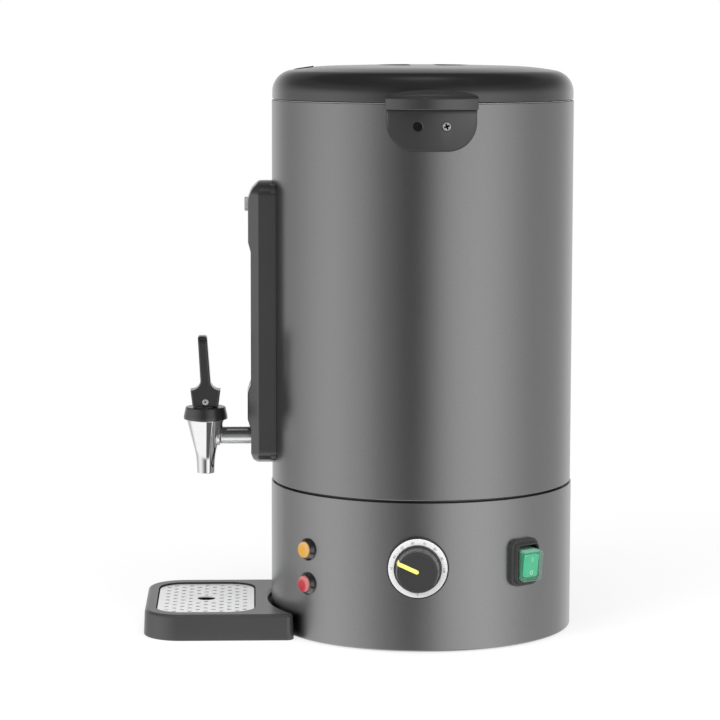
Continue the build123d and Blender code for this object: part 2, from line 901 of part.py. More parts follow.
def shank_nut():
    face = tank_bore - washer_thickness - 2 * seat_gap
    nut = hex_bar(shank_nut_flats, face - shank_nut_height, face)
    nut -= post(shank_radius + running_gap, 0, face + overrun)
    return tapwards(shank_height) * nut


def tap_body():
    """Cone with a threaded neck, a valve seat and an outlet; the shank enters its side."""
    waist = shank_height - tap_waist_drop
    outlet = shank_height - tap_outlet_drop
    neck_top = tap_top + tap_neck_height
    chamber = tap_neck_radius - tap_wall
    cone = soft_lathe(
        [
            (outlet_bore, outlet),
            (tap_outlet_radius, outlet),
            (tap_waist_radius, waist),
            (tap_top_radius, tap_top),
            (tap_neck_radius, tap_top),
            (tap_neck_radius, neck_top),
            (chamber, neck_top),
            (chamber, tap_top),
            (cup_radius + travel_gap, valve_seat),
            (outlet_bore, valve_seat),
        ],
        {2: tap_waist_drop},
    )
    cone = Pos(tap_x, 0, 0) * cone
    return cone - shank_hole(shank_radius + seat_gap, drum_radius, -tap_x)


def tap_collar():
    """Screwed bonnet that holds the stem upright and gives the lever its heel rest."""
    points = [
        (tap_neck_radius + seat_gap, tap_top),
        (collar_skirt_radius, tap_top),
        (collar_skirt_radius, tap_top + collar_skirt_height),
        (collar_top_radius, collar_top),
        (hub_radius, collar_top),
        (hub_radius, collar_top + hub_height),
        (stem_radius + running_gap, collar_top + hub_height),
        (stem_radius + running_gap, collar_roof),
        (tap_neck_radius + seat_gap, collar_roof),
    ]
    return Pos(tap_x, 0, 0) * soft_lathe(points, {2: collar_edge, 3: collar_edge})


def tap_stem():
    """Lift rod with a flat tang that the lever forks over."""
    rod = post(stem_radius, cup_top - stem_socket, pivot_height + tang_reach)
    foot = heel_height - tang_foot_drop
    tang = slab(2 * stem_radius, 2 * tang_half_width, foot, pivot_height + tang_reach)
    rod -= post(stem_radius + overrun, foot, pivot_height + 2 * overrun) - tang
    bore = Pos(0, 0, pivot_height) * Rot(90, 0, 0) * Cylinder(pin_radius + running_gap, 2 * overrun)
    return Pos(tap_x, 0, 0) * (rod - bore)


def seat_cup():
    low = valve_seat + seat_gap
    cup = post(cup_radius, low, cup_top)
    cup -= post(stem_radius + running_gap, cup_top - stem_socket, cup_top + overrun)
    return Pos(tap_x, 0, 0) * cup


def coil_point(turn, pitch):
    angle = 2 * pi * turn
    return Vector(spring_radius * cos(angle), spring_radius * sin(angle), pitch * turn)


def coil_heading(turn, pitch):
    angle = 2 * pi * turn
    around = 2 * pi * spring_radius
    return Vector(-around * sin(angle), around * cos(angle), pitch).normalized()


def coil_arcs(turns, pitch):
    """Coil line as pairs of tangent arcs, two to each quarter turn."""
    arcs = []
    for quarter in range(4 * turns):
        start, end = quarter / 4, (quarter + 1) / 4
        first, last = coil_point(start, pitch), coil_point(end, pitch)
        leave, arrive = coil_heading(start, pitch), coil_heading(end, pitch)
        span = last - first
        both = span.dot(leave + arrive)
        spread = 2 * (1 - leave.dot(arrive))
        reach = (sqrt(both**2 + spread * span.dot(span)) - both) / spread
        ahead = first + reach * leave
        behind = last - reach * arrive
        middle = (ahead + behind) / 2
        arcs.append(TangentArc(first, middle, tangent=leave))
        arcs.append(TangentArc(middle, last, tangent=behind - ahead))
    return arcs


def tap_spring():
    """Return spring round the stem, between the seat cup and the bonnet's roof."""
    low = cup_top + spring_end_gap + spring_wire_radius
    high = collar_roof - spring_end_gap - spring_wire_radius
    pitch = (high - low) / spring_turns
    print("tap spring, least gap between turns:", round(pitch - 2 * spring_wire_radius, 3))
    path = Wire(coil_arcs(spring_turns, pitch))
    section = Plane(origin=coil_point(0, pitch), z_dir=coil_heading(0, pitch)) * Circle(spring_wire_radius)
    return Pos(tap_x, 0, low) * sweep(section, path=path)


def lever_outline():
    """Side view of the lever about its pivot: heel block, hollow shoulders, leaning blade."""
    heel = heel_height - pivot_height
    tip_left = -lever_tip_lean - lever_tip_half_width
    tip_right = -lever_tip_lean + lever_tip_half_width
    neck = lever_neck_half_width
    shoulder = lever_shoulder_half_width
    rise = lever_shoulder_rise
    return [
        Line((lever_heel_half_width, heel), (shoulder, rise)),
        TangentArc((neck, lever_neck_rise), (shoulder, rise), tangent=(0, -1)),
        Line((neck, lever_neck_rise), (tip_right, lever_tip_rise)),
        Line((tip_right, lever_tip_rise), (tip_left, lever_tip_rise)),
        Line((tip_left, lever_tip_rise), (-neck, lever_neck_rise)),
        TangentArc((-neck, lever_neck_rise), (-shoulder, rise), tangent=(0, -1)),
        Line((-shoulder, rise), (-lever_heel_half_width, heel)),
        Line((-lever_heel_half_width, heel), (lever_heel_half_width, heel)),
    ]


def tap_lever():
    side = make_face(lever_outline())
    side = fillet(side.vertices().group_by(Axis.Y)[-1], lever_tip_round)
    blade = Plane.XZ * Pos(0, 0, -lever_paddle_width / 2) * extrude(side, lever_paddle_width)
    heel = heel_height - pivot_height
    front = Polyline(
        (-lever_fork_width / 2, heel),
        (lever_fork_width / 2, heel),
        (lever_fork_width / 2, lever_neck_rise),
        (lever_paddle_width / 2, lever_tip_rise),
        (-lever_paddle_width / 2, lever_tip_rise),
        (-lever_fork_width / 2, lever_neck_rise),
        close=True,
    )
    front = make_face(front)
    front = fillet(front.vertices().group_by(Axis.Y)[-1], lever_paddle_corner)
    width = 2 * lever_shoulder_half_width
    blade &= Plane.YZ * Pos(0, 0, -width / 2) * extrude(front, width)
    slot = 2 * (tang_half_width + lever_slot_gap)
    blade -= slab(2 * width, slot, heel - overrun, lever_slot_rise)
    blade -= Rot(90, 0, 0) * Cylinder(pin_radius + running_gap, lever_paddle_width)
    return Pos(tap_x, 0, pivot_height) * blade


def lever_pin():
    half = lever_fork_width / 2
    pin = post(pin_radius, -half, half)
    for low in (half, -half - pin_head_height):
        pin += post(pin_head_radius, low, low + pin_head_height)
    return Pos(tap_x, 0, pivot_height) * Rot(90, 0, 0) * pin


# Drip tray and grid
def tray_outline():
    """Plan of the tray: round outer corners and a heel hollowed to the base."""
    heel_x = -sqrt(tray_heel_radius**2 - tray_half_width**2)
    length = heel_x - tray_end
    plan = Pos(tray_end + length / 2, 0) * Rectangle(length, 2 * tray_half_width)
    plan = fillet(plan.vertices().group_by(Axis.X)[0], tray_corner)
    plan -= Circle(tray_heel_radius)
    return fillet(plan.vertices().group_by(Axis.X)[-1], tray_heel_corner)


def grid_plan(grow):
    corner = grid_corner + grow
    return Pos(tap_x, 0) * RectangleRounded(grid_length + 2 * grow, grid_width + 2 * grow, corner)


def drip_tray():
    tray = extrude(tray_outline(), tray_height, taper=tray_draft)
    tray = fillet(tray.faces().sort_by(Axis.Z)[-1].edges(), tray_edge)
    seat = grid_bottom - seat_gap
    tray -= Pos(0, 0, seat) * extrude(grid_plan(travel_gap), tray_height)
    tray -= Pos(0, 0, tray_floor) * extrude(grid_plan(-grid_ledge), tray_height)
    tongues = [tongue - post(base_bore - lug_reach, 0, tray_height) for tongue in lugs(lug_reach, 0)]
    return tray + tongues


def grid_holes():
    """Places of the staggered drain holes that lie inside the grid's border and off its centre hole."""
    border = grid_plan(-grid_hole_radius - grid_hole_margin)
    keep_off = grid_centre_radius + grid_hole_radius + grid_hole_margin
    places = []
    for column in range(grid_column_count):
        x = (column - (grid_column_count - 1) / 2) * grid_column_pitch
        rows = grid_row_count - (column + 1) % 2
        for row in range(rows):
            y = (row - (rows - 1) / 2) * grid_row_pitch
            inside = border.face().is_inside((tap_x + x, y, 0))
            if inside and sqrt(x**2 + y**2) > keep_off:
                places.append((tap_x + x, y))
    return places


def drip_grid():
    plan = grid_plan(0) - Pos(tap_x, 0) * Circle(grid_centre_radius)
    plan -= [Pos(x, y) * Circle(grid_hole_radius) for x, y in grid_holes()]
    return Pos(0, 0, grid_bottom) * extrude(plan, grid_thickness)


# Thermostat dial
def scale_base():
    """Black disc behind the scale, flat in front and hollow to the base behind."""
    disc = post(scale_base_radius, base_bore, scale_face - scale_thickness)
    disc -= post(bush_radius + seat_gap, 0, scale_face + overrun)
    return panel(dial_azimuth, dial_height) * disc - post(base_radius + seat_gap, 0, base_top)


def scale_plate():
    disc = post(scale_radius, scale_face - scale_thickness, scale_face)
    disc = chamfer(disc.edges().group_by(Axis.Z)[-1], scale_edge)
    disc -= post(bush_radius + seat_gap, 0, scale_face + overrun)
    return panel(dial_azimuth, dial_height) * disc


def pointer_solid():
    """Yellow strip let into the knob's face and over its edge, before it is turned to its mark."""
    low = knob_face - pointer_drop
    share = (knob_face - low) / knob_height
    edge = knob_face_radius + (knob_foot_radius - knob_face_radius) * share
    outline = Polyline(
        (0, knob_face - pointer_thickness),
        (knob_face_radius - pointer_thickness, knob_face - pointer_thickness),
        (edge - pointer_thickness, low),
        (edge + pointer_thickness, low),
        (knob_face_radius + pointer_thickness, knob_face + pointer_thickness),
        (0, knob_face + pointer_thickness),
        close=True,
    )
    strip = Plane.XZ * Pos(0, 0, -pointer_width / 2) * extrude(make_face(outline), pointer_width)
    return Rot(0, 0, pointer_angle) * strip


def knob_solid():
    points = [
        (spindle_radius + running_gap, knob_foot),
        (knob_foot_radius, knob_foot),
        (knob_face_radius, knob_face),
        (0, knob_face),
        (0, knob_foot + spindle_grip),
        (spindle_radius + running_gap, knob_foot + spindle_grip),
    ]
    return soft_lathe(points, {2: knob_edge})


def dial_knob():
    return panel(dial_azimuth, dial_height) * (knob_solid() - pointer_solid())


def dial_pointer():
    return panel(dial_azimuth, dial_height) * pointer_solid()


def strap_face():
    """Distance at which the thermostat's strap meets the inside of the base."""
    return sqrt(base_bore**2 - (stat_strap_width / 2) ** 2) - seat_gap


def thermostat():
    face = strap_face()
    box_front = face - stat_strap_thickness
    body = slab(stat_width, stat_height, box_front - stat_depth, box_front)
    body += slab(stat_strap_width, stat_strap_height, box_front, face)
    body += post(bush_radius, face, base_radius + bush_stand)
    bore = post(spindle_radius + running_gap, face - spindle_depth, scale_face)
    return panel(dial_azimuth, dial_height) * (body - bore)


def thermostat_spindle():
    low = strap_face() - spindle_depth + seat_gap
    high = knob_foot + spindle_grip - seat_gap
    return panel(dial_azimuth, dial_height) * post(spindle_radius, low, high)


def capillary_bulb():
    """Sensing bulb under the tank, with its capillary bent round the heating element."""
    back = strap_face() - stat_strap_thickness - stat_depth
    bulb_height = tank_bottom - seat_gap - bulb_radius - dial_height
    under = tank_bottom - 2 * element_radius - capillary_under - dial_height
    start = stat_height / 4
    drop = back - capillary_run
    inner = bulb_reach + capillary_bend
    route = [
        (start, back),
        (start, drop),
        (under, drop),
        (under, inner),
        (bulb_height, inner),
        (bulb_height, bulb_reach - capillary_bend),
    ]
    place = panel(dial_azimuth, dial_height)
    points = [place.from_local_coords(Vector(-capillary_side, up, out)) for up, out in route]
    path = FilletPolyline(*points, radius=capillary_bend - seat_gap)
    section = Plane(origin=points[0], z_dir=points[1] - points[0]) * Circle(capillary_radius)
    tail = sweep(section, path=path)
    bulb = post(bulb_radius, bulb_reach - bulb_length, bulb_reach - capillary_bend)
    return tail + place * Pos(-capillary_side, bulb_height, 0) * bulb


# Pilot lamps
def lamp_places():
    return [panel(lamp_azimuth, height) for height in (amber_height, red_height)]


def lamp_bezels():
    face = base_radius + bezel_stand
    bezel = lathe(
        (lamp_bore, base_radius - barrel_depth),
        (barrel_radius, base_radius - barrel_depth),
        (barrel_radius, base_bore),
        (bezel_radius, base_bore),
        (bezel_radius, base_radius + bezel_rim),
        (bezel_face_radius, face),
        (lamp_bore, face),
    )
    wall = post(base_radius + seat_gap, 0, base_top) - post(base_bore - overrun, 0, base_top)
    sleeve = post(barrel_radius, 0, base_radius + overrun)
    return [place * bezel - (wall - place * sleeve) for place in lamp_places()]


def lens(place):
    foot = base_radius + bezel_stand
    cap = post(lens_radius, foot, foot + lens_rise)
    cap = fillet(cap.edges().group_by(Axis.Z)[-1], lens_round)
    return place * (cap + post(lamp_bore - seat_gap, foot - lens_stub, foot))


def amber_lens():
    return lens(lamp_places()[0])


def red_lens():
    return lens(lamp_places()[1])


def lamp_nuts():
    face = sqrt(base_bore**2 - lamp_nut_radius**2) - seat_gap
    nut = hex_bar(sqrt(3) * lamp_nut_radius, face - lamp_nut_height, face)
    nut -= post(barrel_radius + running_gap, 0, face + overrun)
    return [place * nut for place in lamp_places()]


# Rocker switch
def switch_place():
    return panel(switch_azimuth, switch_height)


def rounded_block(width, height, corner, low, high):
    return Pos(0, 0, low) * extrude(RectangleRounded(width, height, corner), high - low)


def rocker_pose():
    """Rocker's rest: turned about its trunnions with its lower end pressed in."""
    return Pos(0, 0, rocker_pivot) * Rot(rocker_tilt, 0, 0) * Pos(0, 0, -rocker_pivot)


def switch_frame():
    flange = rounded_block(flange_width, flange_height, flange_corner, base_bore, flange_face)
    flange = fillet(flange.edges().group_by(Axis.Z)[-1], flange_edge)
    flange = switch_place() * flange - post(base_radius + seat_gap, 0, base_top)
    outer_width = opening_width + 2 * frame_wall
    outer_height = opening_height + 2 * frame_wall
    barrel = slab(outer_width, outer_height, frame_foot, flange_face - flange_edge)
    opening = rounded_block(opening_width, opening_height, opening_corner, 0, flange_face + overrun)
    axle = Cylinder(trunnion_radius + running_gap, 2 * flange_width)
    bearing = Pos(0, 0, rocker_pivot) * Rot(0, 90, 0) * axle
    bearing &= slab(opening_width + 2 * trunnion_reach + 2 * travel_gap, flange_height, 0, flange_face)
    return flange + switch_place() * barrel - switch_place() * opening - switch_place() * bearing


def boot_form(inset):
    """Block under the boot's surface, set in by a wall."""
    width = boot_width - 2 * inset
    height = boot_height - 2 * inset
    low = boot_foot if inset == 0 else boot_foot - overrun
    form = rounded_block(width, height, boot_corner - inset, low, boot_face - inset)
    return fillet(form.edges().group_by(Axis.Z)[-1], boot_face_round - inset / 2)


def switch_boot():
    return switch_place() * rocker_pose() * (boot_form(0) - boot_form(boot_wall))


def switch_rocker():
    inset = boot_wall + rocker_gap
    core = rounded_block(
        boot_width - 2 * inset,
        boot_height - 2 * inset,
        boot_corner - inset,
        rocker_pivot - rocker_heel,
        boot_face - inset - boot_face_round,
    )
    axle = Rot(0, 90, 0) * Cylinder(trunnion_radius, opening_width + 2 * trunnion_reach)
    return switch_place() * rocker_pose() * (core + Pos(0, 0, rocker_pivot) * axle)


def switch_body():
    width = opening_width + 2 * frame_wall - 2 * switch_body_inset
    height = opening_height + 2 * frame_wall - 2 * switch_body_inset
    back = frame_foot - switch_body_depth
    body = slab(width, height, back, frame_foot)
    blade = slab(blade_width, blade_thickness, back - blade_length, back)
    for place in GridLocations(0, blade_pitch, 1, 2):
        body += place * blade
    return switch_place() * body


# Heater, cut-out and wiring pieces
def heating_element():
    """Ring under the tank with its two ends bent down to their terminals."""
    height = tank_bottom - seat_gap - element_radius
    section = Circle(element_radius)
    start = (full_turn - element_sweep) / 2
    ring = revolve(Plane.XZ * Pos(element_circle, height) * section, Axis.Z, element_sweep)
    ring = Rot(0, 0, start) * ring
    for angle, side in ((start, -1), (-start, 1)):
        turn = radians(angle)
        out = Vector(cos(turn), sin(turn), 0)
        heading = side * Vector(-sin(turn), cos(turn), 0)
        end = element_circle * out + Vector(0, 0, height)
        down = end + element_bend * heading - Vector(0, 0, element_bend)
        face = Plane(origin=end, z_dir=heading) * section
        ring += sweep(face, path=Wire([TangentArc(end, down, tangent=heading)]))
        leg_top = Plane(origin=down, z_dir=(0, 0, -1)) * section
        ring += extrude(leg_top, element_leg, dir=(0, 0, -1))
    return ring


def thermal_cutout():
    disc = post(cutout_radius, tank_bottom - cutout_height, tank_bottom)
    disc = fillet(disc.edges().group_by(Axis.Z)[0], cutout_height / 4)
    for place in GridLocations(cutout_radius, 0, 2, 1):
        low = tank_bottom - cutout_height - blade_length
        disc += place * slab(blade_thickness, blade_width, low, tank_bottom - cutout_height)
    return Pos(cutout_reach, 0, 0) * disc


def terminal_block():
    top = plate_top + terminal_height
    block = slab(terminal_width, terminal_length, plate_top, top)
    block = chamfer(block.edges().group_by(Axis.Z)[-1], terminal_way_radius)
    for place in GridLocations(0, terminal_way_pitch, 1, terminal_way_count):
        block -= place * post(terminal_way_radius, top - terminal_way_depth, top + overrun)
    return Pos(terminal_reach, 0, 0) * block


def cable_gland():
    """Cord gland low on the side away from the panel: flange outside, nut inside."""
    nut_face = sqrt(base_bore**2 - gland_flange_radius**2) - seat_gap
    stand = base_radius + gland_flange
    end = base_radius + gland_stand
    body = lathe(
        (gland_bore, nut_face - gland_depth),
        (gland_radius, nut_face - gland_depth),
        (gland_radius, base_bore),
        (gland_flange_radius, base_bore),
        (gland_flange_radius, stand),
        (gland_radius, stand),
        (gland_radius - gland_taper, end),
        (gland_bore, end),
    )
    body += tube(gland_flange_radius, gland_bore, nut_face - gland_nut_height, nut_face)
    place = panel(180, gland_height)
    wall = post(base_radius + seat_gap, 0, base_top) - post(base_bore - seat_gap, 0, base_top)
    return place * body - (wall - place * post(gland_radius, 0, end))


pieces = {
    "base_shell": base_shell,
    "base_plate": base_plate,
    "rubber_feet": rubber_feet,
    "tie_rods": tie_rods,
    "tie_nuts": tie_nuts,
    "seam_ring": seam_ring,
    "body_shell": body_shell,
    "inner_tank": inner_tank,
    "lid": lid,
    "lid_grip": lid_grip,
    "lid_seal": lid_seal,
    "front_handle": handle,
    "rear_handle": rear_handle,
    "handle_screws": handle_screws,
    "backing_plates": backing_plates,
    "gauge_housing": gauge_housing,
    "gauge_gasket": gauge_gasket,
    "sight_glass": sight_glass,
    "glass_seals": glass_seals,
    "gauge_block": gauge_block,
    "gauge_top_holder": gauge_top_holder,
    "gauge_cap_screw": gauge_cap_screw,
    "tap_shank": tap_shank,
    "shank_spacer": shank_spacer,
    "shank_washers": shank_washers,
    "shank_nut": shank_nut,
    "tap_body": tap_body,
    "tap_collar": tap_collar,
    "tap_stem": tap_stem,
    "seat_cup": seat_cup,
    "tap_spring": tap_spring,
    "tap_lever": tap_lever,
    "lever_pin": lever_pin,
    "drip_tray": drip_tray,
    "drip_grid": drip_grid,
    "scale_base": scale_base,
    "scale_plate": scale_plate,
    "dial_knob": dial_knob,
    "dial_pointer": dial_pointer,
    "thermostat": thermostat,
    "thermostat_spindle": thermostat_spindle,
    "capillary_bulb": capillary_bulb,
    "lamp_bezels": lamp_bezels,
    "amber_lens": amber_lens,
    "red_lens": red_lens,
    "lamp_nuts": lamp_nuts,
    "switch_frame": switch_frame,
    "switch_boot": switch_boot,
    "switch_rocker": switch_rocker,
    "switch_body": switch_body,
    "heating_element": heating_element,
    "thermal_cutout": thermal_cutout,
    "terminal_block": terminal_block,
    "cable_gland": cable_gland,
}

os.makedirs("parts", exist_ok=True)
for name, make in pieces.items():
    shape = make()
    if isinstance(shape, list):
        shape = Compound(children=shape)
    export_step(shape, f"parts/{name}.step")
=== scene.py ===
"""Looks of a hot drink dispenser: steel drum and base, domed lid, handles, sight gauge, tap and drip tray.

Metres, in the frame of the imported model: +Z up, the tap towards -X, the control panel towards -Y.
"""

import json
from math import atan2, cos, hypot, pi, radians, sin, sqrt, tan

import bmesh
import bpy
from bpy.props import FloatProperty, FloatVectorProperty, IntProperty, PointerProperty
from bpy.types import NodeSocket, Operator, Panel, PropertyGroup
from mathutils import Matrix, Vector


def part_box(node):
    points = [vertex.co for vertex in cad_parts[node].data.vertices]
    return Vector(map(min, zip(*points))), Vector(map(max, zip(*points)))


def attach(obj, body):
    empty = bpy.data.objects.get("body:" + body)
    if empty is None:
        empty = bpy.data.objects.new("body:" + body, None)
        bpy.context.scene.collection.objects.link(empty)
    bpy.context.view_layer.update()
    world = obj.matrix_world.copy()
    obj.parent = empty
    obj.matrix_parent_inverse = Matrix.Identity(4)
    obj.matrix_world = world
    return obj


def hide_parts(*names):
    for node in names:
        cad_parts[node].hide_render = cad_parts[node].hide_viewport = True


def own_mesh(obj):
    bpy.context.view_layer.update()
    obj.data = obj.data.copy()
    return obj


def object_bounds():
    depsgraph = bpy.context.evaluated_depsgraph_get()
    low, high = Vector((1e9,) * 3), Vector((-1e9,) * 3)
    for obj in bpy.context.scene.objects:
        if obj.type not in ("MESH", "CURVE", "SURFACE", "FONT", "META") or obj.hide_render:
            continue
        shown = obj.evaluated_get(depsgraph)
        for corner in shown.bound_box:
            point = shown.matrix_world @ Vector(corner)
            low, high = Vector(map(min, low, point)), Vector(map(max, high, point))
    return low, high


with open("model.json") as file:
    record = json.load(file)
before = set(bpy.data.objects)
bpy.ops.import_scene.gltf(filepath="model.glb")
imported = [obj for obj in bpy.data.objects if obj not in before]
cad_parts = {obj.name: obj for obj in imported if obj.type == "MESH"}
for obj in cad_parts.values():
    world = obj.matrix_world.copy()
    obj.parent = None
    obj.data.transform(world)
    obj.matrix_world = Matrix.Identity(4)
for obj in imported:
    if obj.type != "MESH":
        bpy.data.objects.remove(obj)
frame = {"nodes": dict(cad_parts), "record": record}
cad_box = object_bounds()

bl_info = {
    "name": "Hot Drink Dispenser",
    "version": (1, 0, 0),
    "blender": (4, 5, 0),
    "location": "3D View > Sidebar > Dispenser",
    "description": "Builds the visible pieces of a hot drink dispenser on its packed model",
    "category": "Object",
}

MM = 0.001
X, Y, Z = range(3)
WELD = 0.002 * MM
HAIR = 0.05 * MM
OVERRUN = 6 * MM
ROUND_STEPS = 5
DRILL_STEPS = 16
ARC_STEPS = 24
FINE_STEPS = 64
TURN_STEPS = 144
HOLD_SHARE = 0.12
ROOM_SHARE = 0.44
END_SHARE = 0.995
DOME_SHARE = 0.97
CREASE_ANGLE = radians(38)
CROSS_TURNS = (pi / 9, pi / 9 + pi / 2)
TAP_SIDE = -pi / 2
ORIGIN = Matrix()
WHITE = (1, 1, 1, 1)


# Sizes and colours: what a user would change is a property, the rest is a plain value of its group
def low(node_name, axis):
    """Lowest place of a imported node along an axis."""
    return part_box(node_name)[0][axis]


def high(node_name, axis):
    """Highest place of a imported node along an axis."""
    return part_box(node_name)[1][axis]


def maker(kind, **fixed):
    """Function that makes properties of one kind from a name, a description and a default."""
    return lambda name, words, value: kind(name=name, description=words, default=value, **fixed)


size = maker(FloatProperty, unit="LENGTH", precision=5)
angle = maker(FloatProperty, subtype="ANGLE")
number = maker(FloatProperty)
count = maker(IntProperty, min=1)
tint = maker(FloatVectorProperty, subtype="COLOR", size=3, min=0, max=1)


class BodySizes(PropertyGroup):
    """Drum, base, inner tank, feet and cord gland."""

    drum_radius: size("Drum radius", "Outside of the steel drum", high("body_shell", X))
    drum_low: size("Drum foot", "Height of the drum's lower edge", low("body_shell", Z))
    drum_high: size("Drum top", "Height of the drum's rolled upper edge", high("body_shell", Z) + 0.3 * MM)
    base_radius: size("Base radius", "Outside of the control base", high("base_shell", X))
    base_low: size("Base foot", "Height of the base's lower edge", low("base_shell", Z))
    base_high: size("Base top", "Height of the base's deck", high("base_shell", Z))
    tank_radius: size("Tank radius", "Outside of the inner tank", 110.0 * MM)
    tank_low: size("Tank floor", "Height of the tank's underside", low("inner_tank", Z))
    rim_high: size("Rim top", "Height of the tank's rim", high("inner_tank", Z))
    foot_circle: size("Foot circle", "Distance of a foot from the axis", 97.0 * MM)
    foot_radius: size("Foot radius", "Radius of a foot's sole", 11.0 * MM)
    gland_azimuth: angle("Gland azimuth", "Where the cord gland sits round the base", pi)
    gland_height: size("Gland height", "Height of the cord gland", 32.0 * MM)
    gland_ribs: count("Gland ribs", "Rings along the gland's nose", 3)
    drum_wall = 1.0 * MM
    drum_turn_in = 12.0 * MM
    drum_edge = 0.45 * MM
    base_wall = 2.4 * MM
    base_edge = 1.6 * MM
    base_lip = 0.9 * MM
    base_lip_width = 1.8 * MM
    base_lip_edge = 0.45 * MM
    deck_ledge = 20.7 * MM
    slot_spread = 40.0 * MM
    slot_width = 12.6 * MM
    slot_low = 13.7 * MM
    slot_high = 17.8 * MM
    tank_wall = 0.8 * MM
    tank_corner = 8.0 * MM
    rim_radius = high("inner_tank", X) - 1.6 * MM
    rim_thickness = 1.0 * MM
    foot_flare = 1.5 * MM
    foot_height = high("rubber_feet", Z)
    foot_dish = 5.0 * MM
    foot_dish_depth = 3.0 * MM
    gland_radius = 9.0 * MM
    gland_flange_radius = 12.0 * MM
    gland_flange = 3.0 * MM
    gland_stand = 11.4 * MM
    gland_bore = 4.0 * MM
    groove_shares = (1.2, 1.8)


class LidSizes(PropertyGroup):
    """Domed lid with its finger pockets, skirt and steam vent."""

    radius: size("Radius", "Outside of the lid", high("lid", X))
    bottom: size("Foot", "Height of the lid's lower edge", high("inner_tank", Z) + 0.3 * MM)
    side: size("Side", "Height of the lid's upright side", 5.4 * MM)
    shoulder_radius: size("Shoulder radius", "Arc of the lid's shoulder", 17.3 * MM)
    haunch_radius: size("Haunch radius", "Arc between shoulder and crown", 200.0 * MM)
    shoulder_sweep: angle("Shoulder sweep", "How far the shoulder turns", radians(79.4))
    haunch_sweep: angle("Haunch sweep", "How far the haunch turns", radians(8.7))
    field_radius: size("Field radius", "Circle round the finger pockets", 41.0 * MM)
    pocket_radius: size("Pocket radius", "Outer arc of the finger pockets", 36.0 * MM)
    pocket_bar: size("Grip bar", "Width of the bar between the pockets", 19.2 * MM)
    pocket_depth: size("Pocket depth", "Depth of a pocket", 15.0 * MM)
    vent_reach: size("Vent reach", "Distance of the steam vent from the axis", 94.5 * MM)
    vent_radius: size("Vent radius", "Radius of the sunk vent disc", 7.8 * MM)
    vent_slots: count("Vent slots", "Slots in the vent disc", 3)
    wall = 2.5 * MM
    rim_round = 0.7 * MM
    pocket_corner = 5.0 * MM
    pocket_lip = 0.3 * MM
    pocket_floor = 4.0 * MM
    skirt_radius = 108.2 * MM
    skirt_wall = 2.0 * MM
    skirt_low = low("lid", Z)
    vent_sink = 1.0 * MM
    vent_rise = 0.55 * MM
    vent_slot_length = 9.0 * MM
    vent_slot_width = 1.6 * MM
    vent_slot_pitch = 3.6 * MM


class HandleSizes(PropertyGroup):
    """Carry handles: a lens-shaped lip over a shield plate."""

    half_width: size("Half width", "Half the lip's width", 35.5 * MM)
    reach: size("Reach", "How far the lip stands out in the middle", 12.4 * MM)
    end_reach: size("End reach", "How far the lip stands out at its ends", 5.2 * MM)
    front_height: size("Front height", "Height of the lip's front", 9.0 * MM)
    crown_rise: size("Crown rise", "Rise of the lip's top towards the lid", 6.9 * MM)
    shield_drop: size("Shield drop", "Depth of the shield below the tank's rim", 36.4 * MM)
    shield_corner: size("Shield corner", "Rounding of the shield's lower corners", 22.0 * MM)
    screw_pitch: size("Screw pitch", "Distance of a screw from the middle", 11.0 * MM)
    screw_drop: size("Screw drop", "Depth of the screws below the tank's rim", 17.5 * MM)
    front_rise = 4.2 * MM
    dish_share = 0.74
    dish_rise = 0.4 * MM
    end_round = 0.5 * MM
    wall = 2.6 * MM
    edge = 1.4 * MM
    shield_inset = 1.2 * MM
    shield_thickness = 4.2 * MM
    shield_edge = 1.3 * MM
    # Reach of the painted shade under the lip and above the shield's foot
    lip_shade = 3.4 * MM
    foot_shade = 2.0 * MM
    bore_radius = 3.55 * MM
    bore_flare = 0.8 * MM
    web = 1.8 * MM
    head_radius = 3.3 * MM
    head_height = 2.4 * MM
    head_round = 1.0 * MM
    cross_length = 4.8 * MM
    cross_width = 1.45 * MM
    cross_depth = 1.8 * MM


class GaugeSizes(PropertyGroup):
    """Sight gauge housing with its window, glass and cap screw."""

    bottom: size("Foot", "Height of the housing's foot", low("gauge_housing", Z) - 1.6 * MM)
    top: size("Top", "Height of the housing's top", high("gauge_housing", Z))
    half_width: size("Half width", "Half the housing's width", 26.0 * MM)
    face_half_width: size("Face half width", "Half width at the nose", 16.0 * MM)
    face: size("Face", "Depth of the front face from the drum", 17.2 * MM)
    top_slope: size("Top slope", "Height of the sloping top", 14.3 * MM)
    foot_slope: size("Foot slope", "Height of the sloping foot", 8.6 * MM)
    window_half_width: size("Window half width", "Half width of the sight window", 5.0 * MM)
    glass_radius: size("Glass radius", "Outside of the sight glass", 5.0 * MM)
    screw_radius: size("Screw radius", "Radius of the cap screw's head", 5.65 * MM)
    back = 1.5 * MM
    crease = 11.1 * MM
    nose = 20.0 * MM
    corner = 4.0 * MM
    end_edge = 11.0 * MM
    top_slope_depth = 10.2 * MM
    top_swell = 6.6 * MM
    top_swell_depth = 16.6 * MM
    foot_slope_depth = 11.0 * MM
    foot_swell = 3.4 * MM
    foot_swell_depth = 15.4 * MM
    back_round = 2.0 * MM
    top_pad_rise = 2.0 * MM
    top_pad_height = 34.3 * MM
    top_pad_ramp = 7.3 * MM
    foot_pad_rise = 2.7 * MM
    foot_pad_lift = 35.7 * MM
    foot_pad_height = 21.4 * MM
    foot_pad_ramp = 7.5 * MM
    window_margin = 3.0 * MM
    wall = 2.5 * MM
    hollow_half_width = 9.0 * MM
    glass_bore = 3.7 * MM
    glass_depth = 8.5 * MM
    screw_drop = 18.8 * MM
    screw_height = 2.8 * MM
    screw_round = 0.9 * MM


